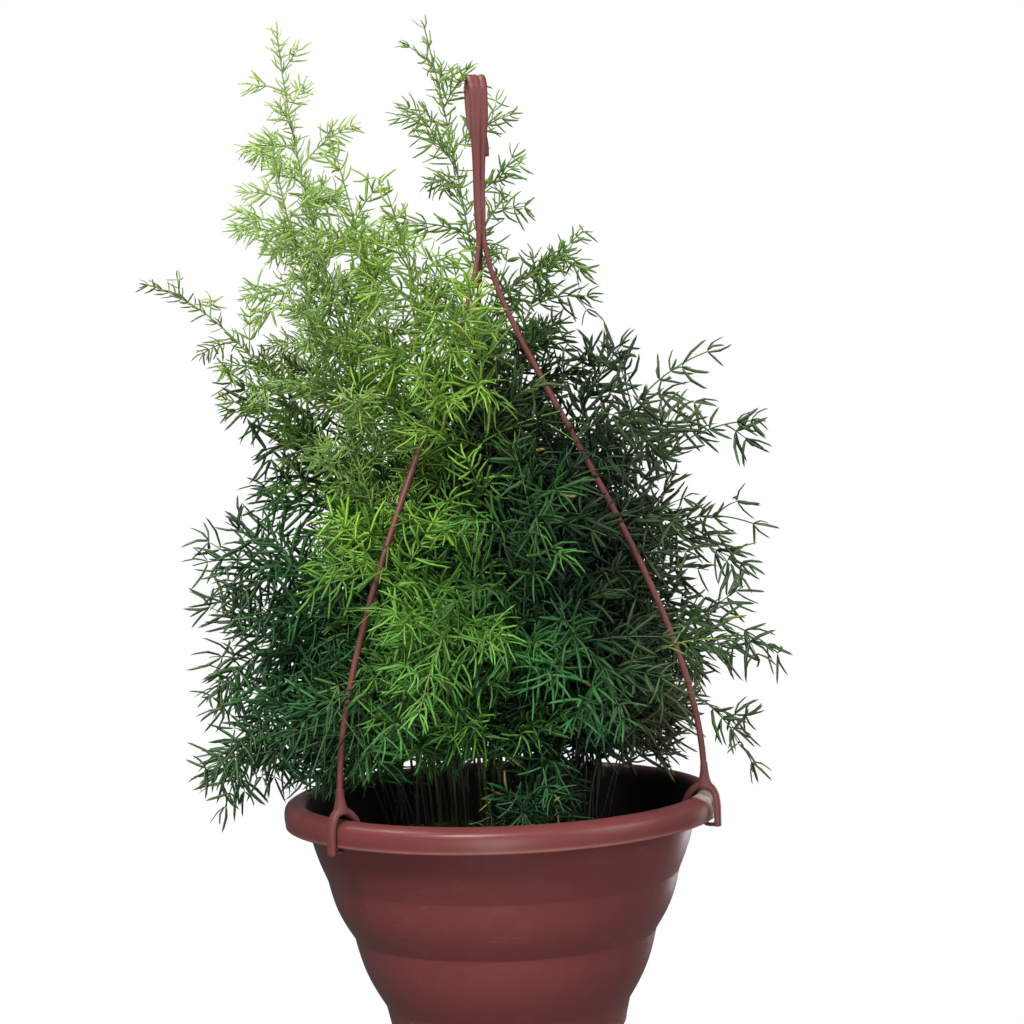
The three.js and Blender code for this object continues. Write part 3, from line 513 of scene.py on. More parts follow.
class FinishWriter(NodeWriter):
    """Adds the nodes of a material."""

    @cached_property
    def at(self):
        """The place on the object."""
        return self.node("ShaderNodeTexCoord", output="Object")

    @cached_property
    def height(self):
        return self.node("ShaderNodeSeparateXYZ", None, {"Vector": self.at}, "Z")

    def attribute(self, name):
        """A number that the mesh bears."""
        return self.node("ShaderNodeAttribute", {"attribute_name": name}, output="Fac")

    def step(self, value, low, high):
        """Rises smoothly from 0 at low to 1 at high."""
        sockets = {"Value": value, "From Min": low, "From Max": high}
        return self.node("ShaderNodeMapRange", {"interpolation_type": "SMOOTHSTEP"}, sockets)

    def below(self, heights, value=None):
        """Falls from 1 at the first of two heights to 0 at the second one."""
        return 1 - self.step(value or self.height, *(level(height) for height in heights))

    def noise(self, scale, detail=2, stretch=(1, 1, 1)):
        """Noise between 0 and 1. Its grain is 1/scale of a metre, longer where stretch is under 1."""
        at = self.node("ShaderNodeMapping", None, {"Vector": self.at, "Scale": stretch})
        return self.node("ShaderNodeTexNoise", None, {"Vector": at, "Scale": scale, "Detail": detail})

    def blend(self, factor, first, second):
        """Mixes two colours."""
        sockets = {"Factor": factor, "A": first, "B": second}
        for key in "AB":
            if not isinstance(sockets[key], Value):
                sockets[key] = (*sockets[key][:3], 1)
        return self.node("ShaderNodeMix", {"data_type": "RGBA"}, sockets)

    def bump(self, height, strength, distance):
        sockets = {"Height": height, "Strength": strength, "Distance": distance}
        return self.node("ShaderNodeBump", None, sockets)

    def surface(self, colour, roughness, specular, **more):
        sockets = {"Base Color": colour, "Roughness": roughness, "Specular IOR Level": specular, **more}
        return self.node("ShaderNodeBsdfPrincipled", None, sockets)

    def white_glow(self):
        return self.node("ShaderNodeEmission", None, {"Color": (1, 1, 1, 1), "Strength": 1.0})

    def finish(self, shader):
        self.node("ShaderNodeOutputMaterial", None, {"Surface": shader})


class ShapeWriter(NodeWriter):
    """Adds the nodes of a geometry tree."""

    def attribute(self, name, **settings):
        return self.node("GeometryNodeInputNamedAttribute", settings, {"Name": name}, "Attribute")

    def store(self, geometry, name, value, **settings):
        sockets = {"Geometry": geometry, "Name": name, "Value": value}
        return self.node("GeometryNodeStoreNamedAttribute", settings, sockets)

    def chance(self, low, high, seed, **settings):
        """A random value."""
        return self.node("FunctionNodeRandomValue", settings, {"Min": low, "Max": high, "Seed": seed})

    def move(self, geometry, **sockets):
        return self.node("GeometryNodeSetPosition", None, {"Geometry": geometry, **sockets})

    def drop(self, geometry, selection, **settings):
        """Leaves out what is selected."""
        sockets = {"Geometry": geometry, "Selection": selection}
        return self.node("GeometryNodeDeleteGeometry", settings, sockets)

    def merge(self, geometry, distance):
        sockets = {"Geometry": geometry, "Distance": distance}
        return self.node("GeometryNodeMergeByDistance", None, sockets)

    def curves(self, lines):
        return self.node("GeometryNodeMeshToCurve", None, {"Mesh": lines})

    def ring(self, corners, radius):
        sockets = {"Resolution": corners, "Radius": radius}
        return self.node("GeometryNodeCurvePrimitiveCircle", None, sockets)

    def sweep(self, curve, section, scale=1.0, capped=False):
        """Sweeps a section along a curve."""
        sockets = {"Curve": curve, "Profile Curve": section, "Scale": scale, "Fill Caps": capped}
        return self.node("GeometryNodeCurveToMesh", None, sockets)

    def turn_by(self, rotation, axis, amount):
        by = self.node("FunctionNodeAxisAngleToRotation", None, {"Axis": axis, "Angle": amount})
        sockets = {"Rotation": rotation, "Rotate By": by}
        return self.node("FunctionNodeRotateRotation", {"rotation_space": "LOCAL"}, sockets)

    def set_on(self, points, piece, rotation, scale):
        """Sets a copy of a piece on each point."""
        sockets = {"Points": points, "Instance": piece, "Rotation": rotation, "Scale": scale}
        return self.node("GeometryNodeInstanceOnPoints", None, sockets)

    def join(self, *geometries):
        return self.node("GeometryNodeJoinGeometry", None, {"Geometry": list(geometries)})

    def smooth(self, geometry):
        return self.node("GeometryNodeSetShadeSmooth", None, {"Geometry": geometry})

    def real(self, geometry):
        return self.node("GeometryNodeRealizeInstances", None, {"Geometry": geometry})

    def dress(self, geometry, material):
        return self.node("GeometryNodeSetMaterial", None, {"Geometry": geometry, "Material": material})

    def finish(self, geometry):
        self.node("NodeGroupOutput", None, {"Geometry": geometry})


def new_material(name):
    """An empty material with a writer for its nodes."""
    material = bpy.data.materials.new(name)
    material.use_nodes = True
    material.node_tree.nodes.clear()
    return material, FinishWriter(material.node_tree)


# ---------------- Materials


def plastic_material(name, colour, roughness, wear):
    """Moulded terracotta plastic: faint mottling, drawn streaks, dust and scratches on a satin skin."""
    material, w = new_material(name)
    mottle = w.noise(14, 3)
    streaks = w.noise(500, 2, (1, 1, 0.05))
    grain = w.noise(2600)
    dust = w.step(w.noise(75, 5), 0.5, 0.9)
    scratches = w.step(w.noise(1100, 3, (0.05, 0.05, 1)), 0.64, 0.7)
    worn = w.step(w.noise(34), 0.48, 0.7)
    deep = tuple(c * 0.86 for c in colour)
    light = tuple(c * 1.1 + 0.012 for c in colour)
    base = w.blend(0.25 + 0.25 * mottle + 0.25 * streaks, deep, light)
    dusty = w.blend(0.04 * dust + 0.16 * wear * worn * scratches, base, DUST_COLOUR)
    bump = w.bump(0.5 * grain + 0.3 * streaks + 0.3 * mottle, strength=0.15, distance=0.4 * MM)
    w.finish(w.surface(dusty, roughness + 0.06 * mottle + 0.1 * dust, specular=0.29, Normal=bump))
    return material


def cover(material, mask, colour):
    """Lays a matt colour over a finished material where a mask says."""
    w = FinishWriter(material.node_tree)
    shader = next(n for n in w.tree.nodes if n.bl_idname == "ShaderNodeBsdfPrincipled")
    share = mask(w)
    colour_in, roughness_in = (shader.inputs[name] for name in ("Base Color", "Roughness"))
    under, gloss = (Value(w, socket.links[0].from_socket) for socket in (colour_in, roughness_in))
    w.tree.links.new(w.blend(share, under, colour).socket, colour_in)
    w.tree.links.new((gloss + share * (MATT - gloss)).socket, roughness_in)


def painted_inner_shade(w):
    """Painted shade on the pot's inner faces, dark up to a ragged line under the rim."""
    ragged = w.height + 6 * MM * w.noise(60, 4)
    return 0.95 * w.attribute("inside") * w.below(INNER_SHADE_BETWEEN, ragged)


def pale_edge(w):
    """A paler thin line along the lip's edge."""
    return w.attribute("edge") * (0.25 + 0.5 * w.noise(90, 3))


def base_scuffs(w):
    """Pale rubs and scratches low on the pot."""
    return 0.4 * w.below(SCUFFS_BETWEEN) * w.step(w.noise(260, 4, (1, 1, 2.5)), 0.52, 0.68)


def limescale(w):
    """Dried limescale, where drips run over the rim under a clip."""
    centre = tuple(place(*arm_point(ARM_AZIMUTHS[1], *LIME_AT)))
    radius = LIME_RADIUS * MM
    apart = w.node("ShaderNodeVectorMath", {"operation": "DISTANCE"}, {0: w.at, 1: centre}, "Value")
    patch = 1 - w.step(apart + 8 * MM * w.noise(240, 3), radius, radius * 1.5)
    return 0.85 * patch * w.step(w.noise(480, 3), 0.3, 0.5)


def soil_material():
    """Damp potting soil: dark crumbs with paler fibres."""
    material, w = new_material("potting_soil")
    crumbs = w.noise(260, 6)
    fibres = w.step(w.noise(160, 4, (1, 0.3, 1)), 0.6, 0.72)
    colour = w.blend(0.5 * fibres, w.blend(crumbs, *SOIL_COLOURS), FIBRE_COLOUR)
    bump = w.bump(crumbs, strength=0.8, distance=1.5 * MM)
    w.finish(w.surface(colour, 0.72 + 0.2 * crumbs, specular=0.3, Normal=bump))
    return material


def needle_material(tone):
    """Needle leaves: deep and light ones side by side, pale young ones, and a few dry tips. Painted light
    and shade by place in the bush sets how much light, young and deep colour they show, and how much light
    glows through them.
    """
    deep, light, young, old, dry, weathering = TONES[tone]
    material, w = new_material(f"needles_{tone}")
    borne = ("tint", "shoot", "along", "sun", "outer")
    tint, shoot, along, sun, outer = (w.attribute(name) for name in borne)
    # The young colour shows less where the painted light is low.
    youth = w.attribute("youth") * (0.25 + 0.75 * sun)
    # The light colour shows only as far as the painted light allows, and the deep colour darkens to the
    # dark tone's in painted shade.
    share = (0.3 * tint + shoot + 0.95 * w.noise(26) - 0.66) * (0.06 + 0.94 * sun)
    deep_here = w.blend(sun, TONES["dark"][0], deep)
    light_here = w.blend(0.6 * w.below(COOL_BETWEEN), light, COOL_COLOUR)
    green = w.blend(share.math("MAXIMUM", 0).math("MINIMUM", 1), deep_here, light_here)
    # Painted shade in the bush's heart.
    shaded = w.blend(0.88 * w.attribute("buried") * (1 - youth), green, SHADE_COLOUR)
    weathered_here = w.blend(weathering * outer * (1 - 0.5 * shoot), shaded, old)
    aged = w.blend(youth * (0.5 + 0.5 * tint) * (1 - weathering * outer), weathered_here, young)
    # Painted light: the young colour at a needle's foot shows where it is lit.
    footed = w.blend(0.3 * sun * (1 - w.step(along, 0, 0.4)), aged, young)
    drying = w.step(tint, 1 - dry, 1 - 0.6 * dry) * w.step(along, 0.1, 0.7)
    colour = w.blend(0.85 * drying, footed, DRY_COLOUR)
    skin_shader = w.surface(colour, 0.52 + 0.18 * tint - 0.14 * sun, specular=0.3)
    through = w.node("ShaderNodeBsdfTranslucent", None, {"Color": (*young, 1)})
    # Painted light: more light glows through needles where they are lit.
    light_through = 0.03 + 0.17 * sun + 0.2 * youth
    w.finish(w.node("ShaderNodeMixShader", None, {0: light_through, 1: skin_shader, 2: through}))
    return material


def twig_material(tone):
    """Wiry stems: green where young, brown and streaked low down."""
    deep, light, *_ = TONES[tone]
    material, w = new_material(f"twigs_{tone}")
    streaks = w.noise(300, 3, (1, 1, 0.15))
    green = w.blend(streaks, tuple(c * 1.3 for c in deep), tuple(c * 0.7 + 0.01 for c in light))
    aged = w.blend(0.6 * w.attribute("youth"), green, YOUNG_STEM_COLOUR)
    colour = w.blend(0.2 + 0.7 * w.below(BROWN_BETWEEN), aged, BROWN_COLOUR)
    w.finish(w.surface(colour, 0.42 + 0.2 * streaks, specular=0.4))
    return material


# ---------------- Meshes


def add_object(name, data):
    """Adds an object to the scene, for a mesh, a lamp or a camera."""
    added = bpy.data.objects.new(name, data)
    bpy.context.scene.collection.objects.link(added)
    return added


def finish_piece(piece, slot, *nodes):
    """Hands a finished piece to the frame."""
    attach(piece, "root")
    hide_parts(*nodes)


def applied(carrier):
    """An object's mesh with its modifiers applied. The object goes."""
    bare = carrier.data
    made = bpy.data.meshes.new_from_object(carrier.evaluated_get(bpy.context.evaluated_depsgraph_get()))
    bpy.data.objects.remove(carrier)
    bpy.data.meshes.remove(bare)
    return made


def run_tree(tree, mesh, values):
    """Runs a node tree on a mesh and returns the result as a plain mesh."""
    carrier = add_object("carrier", mesh)
    modifier = carrier.modifiers.new("Build", "NODES")
    modifier.node_group = tree
    for item in tree.interface.items_tree:
        if item.in_out == "INPUT" and item.name in values:
            modifier[item.identifier] = values[item.name]
    return applied(carrier)


def new_tree(name, inputs):
    """A geometry tree with the given inputs, each a (name, socket type, default)."""
    tree = bpy.data.node_groups.new(name, "GeometryNodeTree")
    tree.interface.new_socket("Geometry", in_out="INPUT", socket_type="NodeSocketGeometry")
    tree.interface.new_socket("Geometry", in_out="OUTPUT", socket_type="NodeSocketGeometry")
    for title, kind, default in inputs:
        socket = tree.interface.new_socket(title, in_out="INPUT", socket_type=f"NodeSocket{kind}")
        if default is not None:
            socket.default_value = default
    writer = ShapeWriter(tree)
    return tree, writer, writer.node("NodeGroupInput")


def line_mesh(points, edges, values):
    """A mesh of edges whose points bear the named values."""
    mesh = bpy.data.meshes.new("lines")
    mesh.from_pydata(points, edges, [])
    for name, column in values.items():
        mesh.attributes.new(name, "FLOAT", "POINT").data.foreach_set("value", column)
    return mesh


def smooth_line(points, steps):
    """A smooth curve through rows of numbers, with `steps` stretches between two rows."""
    rows = [Vector(p) for p in points]
    ends = [2 * rows[0] - rows[1], *rows, 2 * rows[-1] - rows[-2]]
    line = []
    for a, b, c, d in zip(ends, ends[1:], ends[2:], ends[3:]):
        slope, bend, twist = c - a, 2 * a - 5 * b + 4 * c - d, 3 * b - a - 3 * c + d
        for t in (k / steps for k in range(steps)):
            line.append(0.5 * (2 * b + slope * t + bend * t**2 + twist * t**3))
    return [*line, rows[-1]]


def directions(points):
    """The direction of a line at each of its points."""
    last = len(points) - 1
    return [(points[min(k + 1, last)] - points[max(k - 1, 0)]).normalized() for k in range(last + 1)]


def skin(form, rings):
    """Adds a closed skin over rings of points to a bmesh, with a cap at each end."""
    loops = [[form.verts.new(p) for p in ring] for ring in rings]
    for low, high in zip(loops, loops[1:]):
        for k, corner in enumerate(low):
            form.faces.new((low[k - 1], corner, high[k], high[k - 1]))
    form.faces.new(loops[0][::-1])
    form.faces.new(loops[-1])


def plain_mesh(form, name):
    """A mesh from a bmesh, which goes."""
    mesh = bpy.data.meshes.new(name)
    form.to_mesh(mesh)
    form.free()
    return mesh


def to_mesh(form, name, material):
    """Turns a bmesh into a smooth mesh whose faces point outwards."""
    bmesh.ops.recalc_face_normals(form, faces=form.faces)
    mesh = plain_mesh(form, name)
    mesh.materials.append(material)
    for face in mesh.polygons:
        face.use_smooth = True
    return mesh


# ---------------- Pot


def tier(lower, upper, bulge):
    """A bulging tier of the wall, from its lower to its upper crease."""
    start, along = Vector(lower), Vector(upper) - Vector(lower)
    outward = Vector((along.y, -along.x)).normalized()
    shares = [0, CREASE, *(k / TIER_STEPS for k in range(1, TIER_STEPS)), 1 - CREASE, 1]
    return [start + along * t + outward * bulge * math.sin(math.pi * t) for t in shares]


def pot_wall():
    """The outside of the wall, from the middle of the base to the lip."""
    corner = []
    for k in range(CORNER_STEPS + 1):
        angle = math.radians(-90 + 90 * k / CORNER_STEPS)
        reach = POT_CORNER_RADIUS * Vector((math.cos(angle), math.sin(angle)))
        corner.append(Vector((POT_BASE_RADIUS, POT_CORNER_RADIUS)) + reach)
    foot = [Vector((0, 0)), Vector((POT_BASE_RADIUS * 0.9, 0))]
    tiers = [tier(*pair, bulge) for *pair, bulge in zip(POT_CREASES, POT_CREASES[1:], POT_BULGES)]
    return [*foot, *corner, *tiers[0], *tiers[1][1:], *tiers[2][1:]]


def offset_line(line, distance):
    """A line moved to its left by a distance, which starts on the axis."""
    moved = [point + Vector((-way.y, way.x)) * distance for point, way in zip(line, directions(line))]
    moved[0].x = 0
    return moved


def pot_outline(wall_thickness):
    """The whole section of the pot, from the middle of its base round to the middle of its floor.

    Each row is [radius, height, inside, edge]: whether it is an inner face, and how near the lip's edge.
    """
    outer = pot_wall()
    inner = offset_line(outer, wall_thickness)
    rows = [(p.x, p.y, 0, 0) for p in (*outer, *smooth_line(UNDER_RIM, steps=4))]
    for point in smooth_line(OVER_RIM, steps=8):
        inside, edge = 1 - share_between(point.x, *RIM_INNER_FACE), 1 - share_between(point.y, *LIP_EDGE)
        rows.append((point.x, point.y, inside, edge))
    return rows + [(p.x, p.y, 1, 0) for p in reversed(inner)]


def lathe_tree():
    """Turns an outline, drawn as a line of edges in the XZ plane, round the Z axis."""
    tree, w, inputs = new_tree("Turned Body", [
        ("Segments", "Int", 96),
        ("Material", "Material", None),
    ])
    split = w.node("ShaderNodeSeparateXYZ", None, {"Vector": w.node("GeometryNodeInputPosition")})
    # The ring has a radius already, so the outline is drawn that much nearer to the ring's line.
    radius = 1.0
    flat = w.vector(split["X"] - radius, -1 * split["Z"], 0)
    profile = w.move(w.curves(inputs["Geometry"]), Position=flat)
    upright = {"Curve": w.ring(inputs["Segments"], radius)}
    body = w.sweep(w.node("GeometryNodeSetCurveNormal", {"mode": "Z_UP"}, upright), profile)
    closed = w.merge(body, 0.02 * MM)
    w.finish(w.dress(w.real(w.smooth(closed)), inputs["Material"]))
    return tree


def turned_mesh(outline, segments, material, *names):
    """A mesh turned from rows of [radius, height, ...] in millimetres, with its faces outwards.

    What follows the height in a row becomes an attribute, by the names given.
    """
    points = [place(row[0], 0, row[1]) for row in outline]
    edges = [(k, k + 1) for k in range(len(points) - 1)]
    values = {name: [row[column] for row in outline] for column, name in enumerate(names, 2)}
    line = line_mesh(points, edges, values)
    mesh = run_tree(lathe_tree(), line, {"Segments": segments, "Material": material})
    return joined("turned", [mesh], material)


class PotSettings(PropertyGroup):
    """Sizes and colour of the pot."""

    wall: length_setting("Wall", "Thickness of the moulded wall", 0.0022, 0.0005)
    segments: IntProperty(name="Segments", description="Faces round the pot", default=120, min=24)
    colour: plastic_setting((0.154, 0.035, 0.034))


class FERN_OT_add_pot(Operator):
    """Add the tiered pot with its rolled rim"""

    bl_idname = "fern.add_pot"
    bl_label = "Add Pot"

    def execute(self, context):
        settings = context.scene.fern_pot
        material = plastic_material("pot_plastic", settings.colour, roughness=0.3, wear=1)
        # Painted shade on the pot's inner faces.
        cover(material, painted_inner_shade, INNER_SHADE_COLOUR)
        cover(material, pale_edge, LIP_COLOUR)
        cover(material, base_scuffs, SCUFF_COLOUR)
        cover(material, limescale, LIME_COLOUR)
        outline = pot_outline(settings.wall / MM)
        mesh = turned_mesh(outline, settings.segments, material, "inside", "edge")
        finish_piece(add_object("pot_shell", mesh), "pot_plastic", "pot")
        return {"FINISHED"}


# ---------------- Soil


def soil_tree():
    """Roughens the filling and strews crumbs over its top."""
    tree, w, inputs = new_tree("Soil Crumbs", [
        ("Density", "Float", 60000.0),
        ("Crumb Size", "Float", 0.002),
        ("Roughness", "Float", 0.003),
        ("Seed", "Int", 3),
        ("Material", "Material", None),
    ])
    # The filling's top rises and falls, and its side stays plain.
    at = w.node("GeometryNodeInputPosition")
    height = w.node("ShaderNodeSeparateXYZ", None, {"Vector": at}, "Z")
    on_top = w.math("GREATER_THAN", height, level(SOIL_TOP - SOIL_SKIN))
    bumps = w.node("ShaderNodeTexNoise", None, {"Vector": at, "Scale": 70.0, "Detail": 4.0})
    lift = w.vector(0, 0, inputs["Roughness"] * (bumps - SOIL_LEVEL) * on_top)
    body = w.move(inputs["Geometry"], Offset=lift)
    points = w.node("GeometryNodeDistributePointsOnFaces", None, {
        "Mesh": body, "Selection": on_top, "Density": inputs["Density"], "Seed": inputs["Seed"],
    })
    turn = w.chance((0, 0, 0), (6.28, 6.28, 6.28), inputs["Seed"], data_type="FLOAT_VECTOR")
    share = w.chance(0, 1, 11)
    least, more = CRUMB_SHARES
    size = inputs["Crumb Size"] * (least + more * share * share * share)
    flatter = size * w.chance(*CRUMB_FLATNESS, 12)
    crumb = w.node("GeometryNodeMeshIcoSphere", None, {"Radius": 1.0, "Subdivisions": 1})
    crumbs = w.set_on(points["Points"], crumb["Mesh"], turn, w.vector(size, flatter, flatter))
    w.finish(w.dress(w.real(w.join(body, crumbs)), inputs["Material"]))
    return tree


def soil_outline(wall_thickness):
    """The filling's section, just clear of the pot's inside."""
    inner = offset_line(pot_wall(), wall_thickness + SOIL_GAP)
    inwards, down = SOIL_SIDE_END
    below = [p for p in inner if p.x < SOIL_RADIUS - inwards and p.y < SOIL_TOP - down]
    edge = [Vector((SOIL_RADIUS - inwards, SOIL_TOP - down)) for inwards, down in SOIL_EDGE]
    rings = [Vector((SOIL_RADIUS * (1 - k / SOIL_RINGS), SOIL_TOP)) for k in range(3, SOIL_RINGS)]
    return [*below, *edge, *rings, Vector((0, SOIL_TOP))]


class SoilSettings(PropertyGroup):
    """Sizes of the soil's crumbs."""

    crumb: length_setting("Crumb", "Size of the largest crumbs", 0.0026, 0.0005)
    density: FloatProperty(name="Density", description="Crumbs on a square metre", default=20000, min=0)
    roughness: length_setting("Roughness", "How far the soil's top rises and falls", 0.004)


class FERN_OT_add_soil(Operator):
    """Add the potting soil with its crumbs"""

    bl_idname = "fern.add_soil"
    bl_label = "Add Soil"

    def execute(self, context):
        settings = context.scene.fern_soil
        material = soil_material()
        body = turned_mesh(soil_outline(context.scene.fern_pot.wall / MM), SOIL_SEGMENTS, material)
        soil = run_tree(soil_tree(), body, {
            "Density": settings.density, "Crumb Size": settings.crumb, "Roughness": settings.roughness,
            "Seed": SEED, "Material": material,
        })
        finish_piece(add_object("soil_crumbs", soil), "potting_soil", "soil")
        return {"FINISHED"}


# ---------------- Hanger


def band_rows():
    """The band's middle line with its width and thickness: up the front, over the loop, down the back."""
    centre = HOOK_SEAT + BAND_THICKNESS / 2 - LOOP_RADIUS
    over = []
    for k in range(LOOP_STEPS + 1):
        angle = math.pi * (1 - k / LOOP_STEPS)
        depth, height = LOOP_RADIUS * math.cos(angle), centre + LOOP_RADIUS * math.sin(angle)
        over.append((0, depth, height, BAND_WIDTH, BAND_THICKNESS))
    return smooth_line((*BAND_FRONT, *over, *BAND_BACK), steps=4)


def add_band(form):
    """The grooved band of the hook."""
    rows = band_rows()
    middle = [Vector(row[:3]) for row in rows]
    across = Vector((1, 0, 0))
    turn = Matrix.Rotation(HOOK_TURN, 3, "Z")
    rings = []
    for point, way, row in zip(middle, directions(middle), rows):
        outer = across.cross(way).normalized()
        width, thickness = row[3:]
        depth = RELIEF - RELIEF_LOST * share_between(point.z, *RELIEF_BETWEEN)
        relief = min(1, thickness / BAND_THICKNESS) * depth
        ring = []
        for u, v, fall in BAND_SECTION:
            at = turn @ (point + across * u * width + outer * (v * thickness - fall * relief))
            ring.append(place(*at))
        rings.append(ring)
    skin(form, rings)


def arm_point(azimuth, radius, height):
    return Vector((radius * math.cos(azimuth), radius * math.sin(azimuth), height))


def cubic(a, b, c, d, count):
    """Points along a cubic curve between a and d, with handles b and c."""
    points = []
    for k in range(count + 1):
        t = k / count
        points.append(a * (1 - t) ** 3 + b * 3 * t * (1 - t) ** 2 + c * 3 * t**2 * (1 - t) + d * t**3)
    return points


def arm_line(azimuth, count=64):
    """A strand's middle line, from its clip to where it has run into the band."""
    foot, head = arm_point(azimuth, *ARM_FOOT), arm_point(azimuth, *ARM_HEAD)
    rise, drop = Vector((0, 0, ARM_HANDLES[0])), Vector((0, 0, ARM_HANDLES[1]))
    arch = cubic(foot, foot + rise, head - drop, head, count)
    return [*arch, *(arm_point(azimuth, *end) for end in ARM_ENDS)]


def strand_mesh(thickness, material):
    """The three strands, swept along their lines."""
    points, edges, sizes = [], [], []
    for azimuth in ARM_AZIMUTHS:
        first = len(points)
        stretch = arm_line(azimuth)
        points += [place(*p) for p in stretch]
        edges += [(first + k, first + k + 1) for k in range(len(stretch) - 1)]
        sizes += [1 - STRAND_TAPER * share_between(p.z, STRAND_TAPERS_FROM, ARM_HEAD[1]) for p in stretch]
    lines = line_mesh(points, edges, {"size": sizes})
    return run_tree(strand_tree(), lines, {"Thickness": thickness, "Material": material})


def strand_tree():
    """Sweeps a round section along lines of edges. The attribute `size` scales it."""
    tree, w, inputs = new_tree("Strands", [
        ("Thickness", "Float", 0.004),
        ("Sides", "Int", 14),
        ("Material", "Material", None),
    ])
    lines = w.curves(inputs["Geometry"])
    size = w.attribute("size") * inputs["Thickness"]
    body = w.sweep(lines, w.ring(inputs["Sides"], 0.5), size, capped=True)
    w.finish(w.dress(w.real(w.smooth(body)), inputs["Material"]))
    return tree


def add_bar(form, azimuth, rows, steps):
    """A bar with rounded corners along [radius, height, width, thickness] rows in an arm's own plane."""
    across = Vector((-math.sin(azimuth), math.cos(azimuth), 0))
    line = smooth_line(rows, steps)
    middle = [arm_point(azimuth, row[0], row[1]) for row in line]
    rings = []
    for point, way, row in zip(middle, directions(middle), line):
        outer = across.cross(way).normalized()
        ring = []
        for k in range(BAR_CORNERS):
            angle = 2 * math.pi * (k + 0.5) / BAR_CORNERS
            u, v = math.cos(angle), math.sin(angle)
            bulge = (abs(u) ** BAR_SQUARENESS + abs(v) ** BAR_SQUARENESS) ** (-1 / BAR_SQUARENESS)
            at = point + outer * (u * bulge * row[3] / 2) + across * (v * bulge * row[2] / 2)
            ring.append(place(*at))
        rings.append(ring)
    skin(form, rings)


def clip_mesh(width, thickness, material):
    """The forks that straddle the rim, each moulded into one body with its crown and barb."""
    form = bmesh.new()
    for azimuth in ARM_AZIMUTHS:
        add_bar(form, azimuth, [(r, z, width, thickness) for r, z in CLIP_LINE], steps=4)
        add_bar(form, azimuth, CLIP_CROWN, steps=4)
        add_bar(form, azimuth, CLIP_BARB, steps=2)
    return fused(to_mesh(form, "clips", material), voxel=0.65 * MM, smoothing=3)


def fused(mesh, voxel, smoothing):
    """Closed shells that overlap, made one moulded body with soft inner corners."""
    carrier = add_object("carrier", mesh)
    remesh = carrier.modifiers.new("Fuse", "REMESH")
    remesh.mode = "VOXEL"
    remesh.voxel_size = voxel
    remesh.use_smooth_shade = True
    soften = carrier.modifiers.new("Soften", "SMOOTH")
    soften.iterations = smoothing
    return applied(carrier)


def joined(name, meshes, material):
    """One mesh from several, with one material."""
    form = bmesh.new()
    for mesh in meshes:
        form.from_mesh(mesh)
        bpy.data.meshes.remove(mesh)
    return to_mesh(form, name, material)


class HangerSettings(PropertyGroup):
    """Sizes and colour of the hanger."""

    strand: length_setting("Strand", "Thickness of a strand", 0.0037, 0.001)
    clip_width: length_setting("Clip Width", "Width of a fork over the rim", 0.006, 0.002)
    clip_thickness: length_setting("Clip Thickness", "Thickness of a fork", 0.004, 0.001)
    colour: plastic_setting((0.138, 0.037, 0.036))


class FERN_OT_add_hanger(Operator):
    """Add the hanger: hook band, three strands and their clips"""

    bl_idname = "fern.add_hanger"
    bl_label = "Add Hanger"

    def execute(self, context):
        settings = context.scene.fern_hanger
        material = plastic_material("hanger_plastic", settings.colour, roughness=0.42, wear=0.4)
        form = bmesh.new()
        add_band(form)
        band = to_mesh(form, "band", material)
        strands = strand_mesh(settings.strand, material)
        clips = clip_mesh(settings.clip_width / MM, settings.clip_thickness / MM, material)
        hanger = add_object("hanger_moulding", joined("hanger", [band, strands, clips], material))
        finish_piece(hanger, "hanger_plastic", *HANGER_NODES)
        return {"FINISHED"}


# ---------------- Leafy stems


class Line:
    """A line of points with a length, and a frame of directions at any distance along it."""

    def __init__(self, points, normal):
        self.points = points
        self.marks = [0.0]
        for a, b in zip(points, points[1:]):
            self.marks.append(self.marks[-1] + (b - a).length)
        self.length = self.marks[-1]
        self.along = directions(points)
        self.normals = []
        for way in self.along:
            normal = (normal - way * normal.dot(way)).normalized()
            self.normals.append(normal)

    def at(self, distance):
        """The point, direction, normal and side at a distance."""
        k = max(0, sum(mark <= distance for mark in self.marks) - 1)
        k = min(k, len(self.points) - 2)
        t = (distance - self.marks[k]) / (self.marks[k + 1] - self.marks[k])
        way = self.along[k].lerp(self.along[k + 1], t).normalized()
        normal = self.normals[k].lerp(self.normals[k + 1], t)
        normal = (normal - way * normal.dot(way)).normalized()
        return self.points[k].lerp(self.points[k + 1], t), way, normal, way.cross(normal)


def stem_line(root, tip, pitch, rise, reach):
    """Straight up out of the soil, then over in one arch to the tip."""
    mouth, end = Vector((*root, SOIL_TOP)), Vector(tip)
    heading = end - mouth
    heading.z = 0
    heading.normalize()
    angle = math.radians(pitch)
    at_tip = heading * math.cos(angle) + Vector((0, 0, math.sin(angle)))
    arch = cubic(mouth, mouth + Vector((0, 0, rise)), end - at_tip * reach, end, count=40)
    return Line([mouth - Vector((0, 0, ROOT_DEPTH)), *arch], heading)


def twig_length(share, longest):
    """Twigs are longest a third of the way up the leafy part."""
    start, span = TWIG_WAVE
    return longest * math.sin(math.pi * (start + span * share)) ** TWIG_FULLNESS


def twig_line(parent, distance, azimuth, length, lean, sag, steps=6):
    """A twig that leaves its parent at a distance, at an angle, and sags towards its end."""
    point, way, normal, side = parent.at(distance)
    away = normal * math.cos(azimuth) + side * math.sin(azimuth)
    first = way * math.cos(lean) + away * math.sin(lean)
    final = (first - Vector((0, 0, sag))).normalized()
    bend = point + first * length / 2
    end = bend + final * length / 2
    points = []
    for k in range(steps + 1):
        t = k / steps
        points.append(point * (1 - t) ** 2 + bend * 2 * t * (1 - t) + end * t**2)
    return Line(points, way)


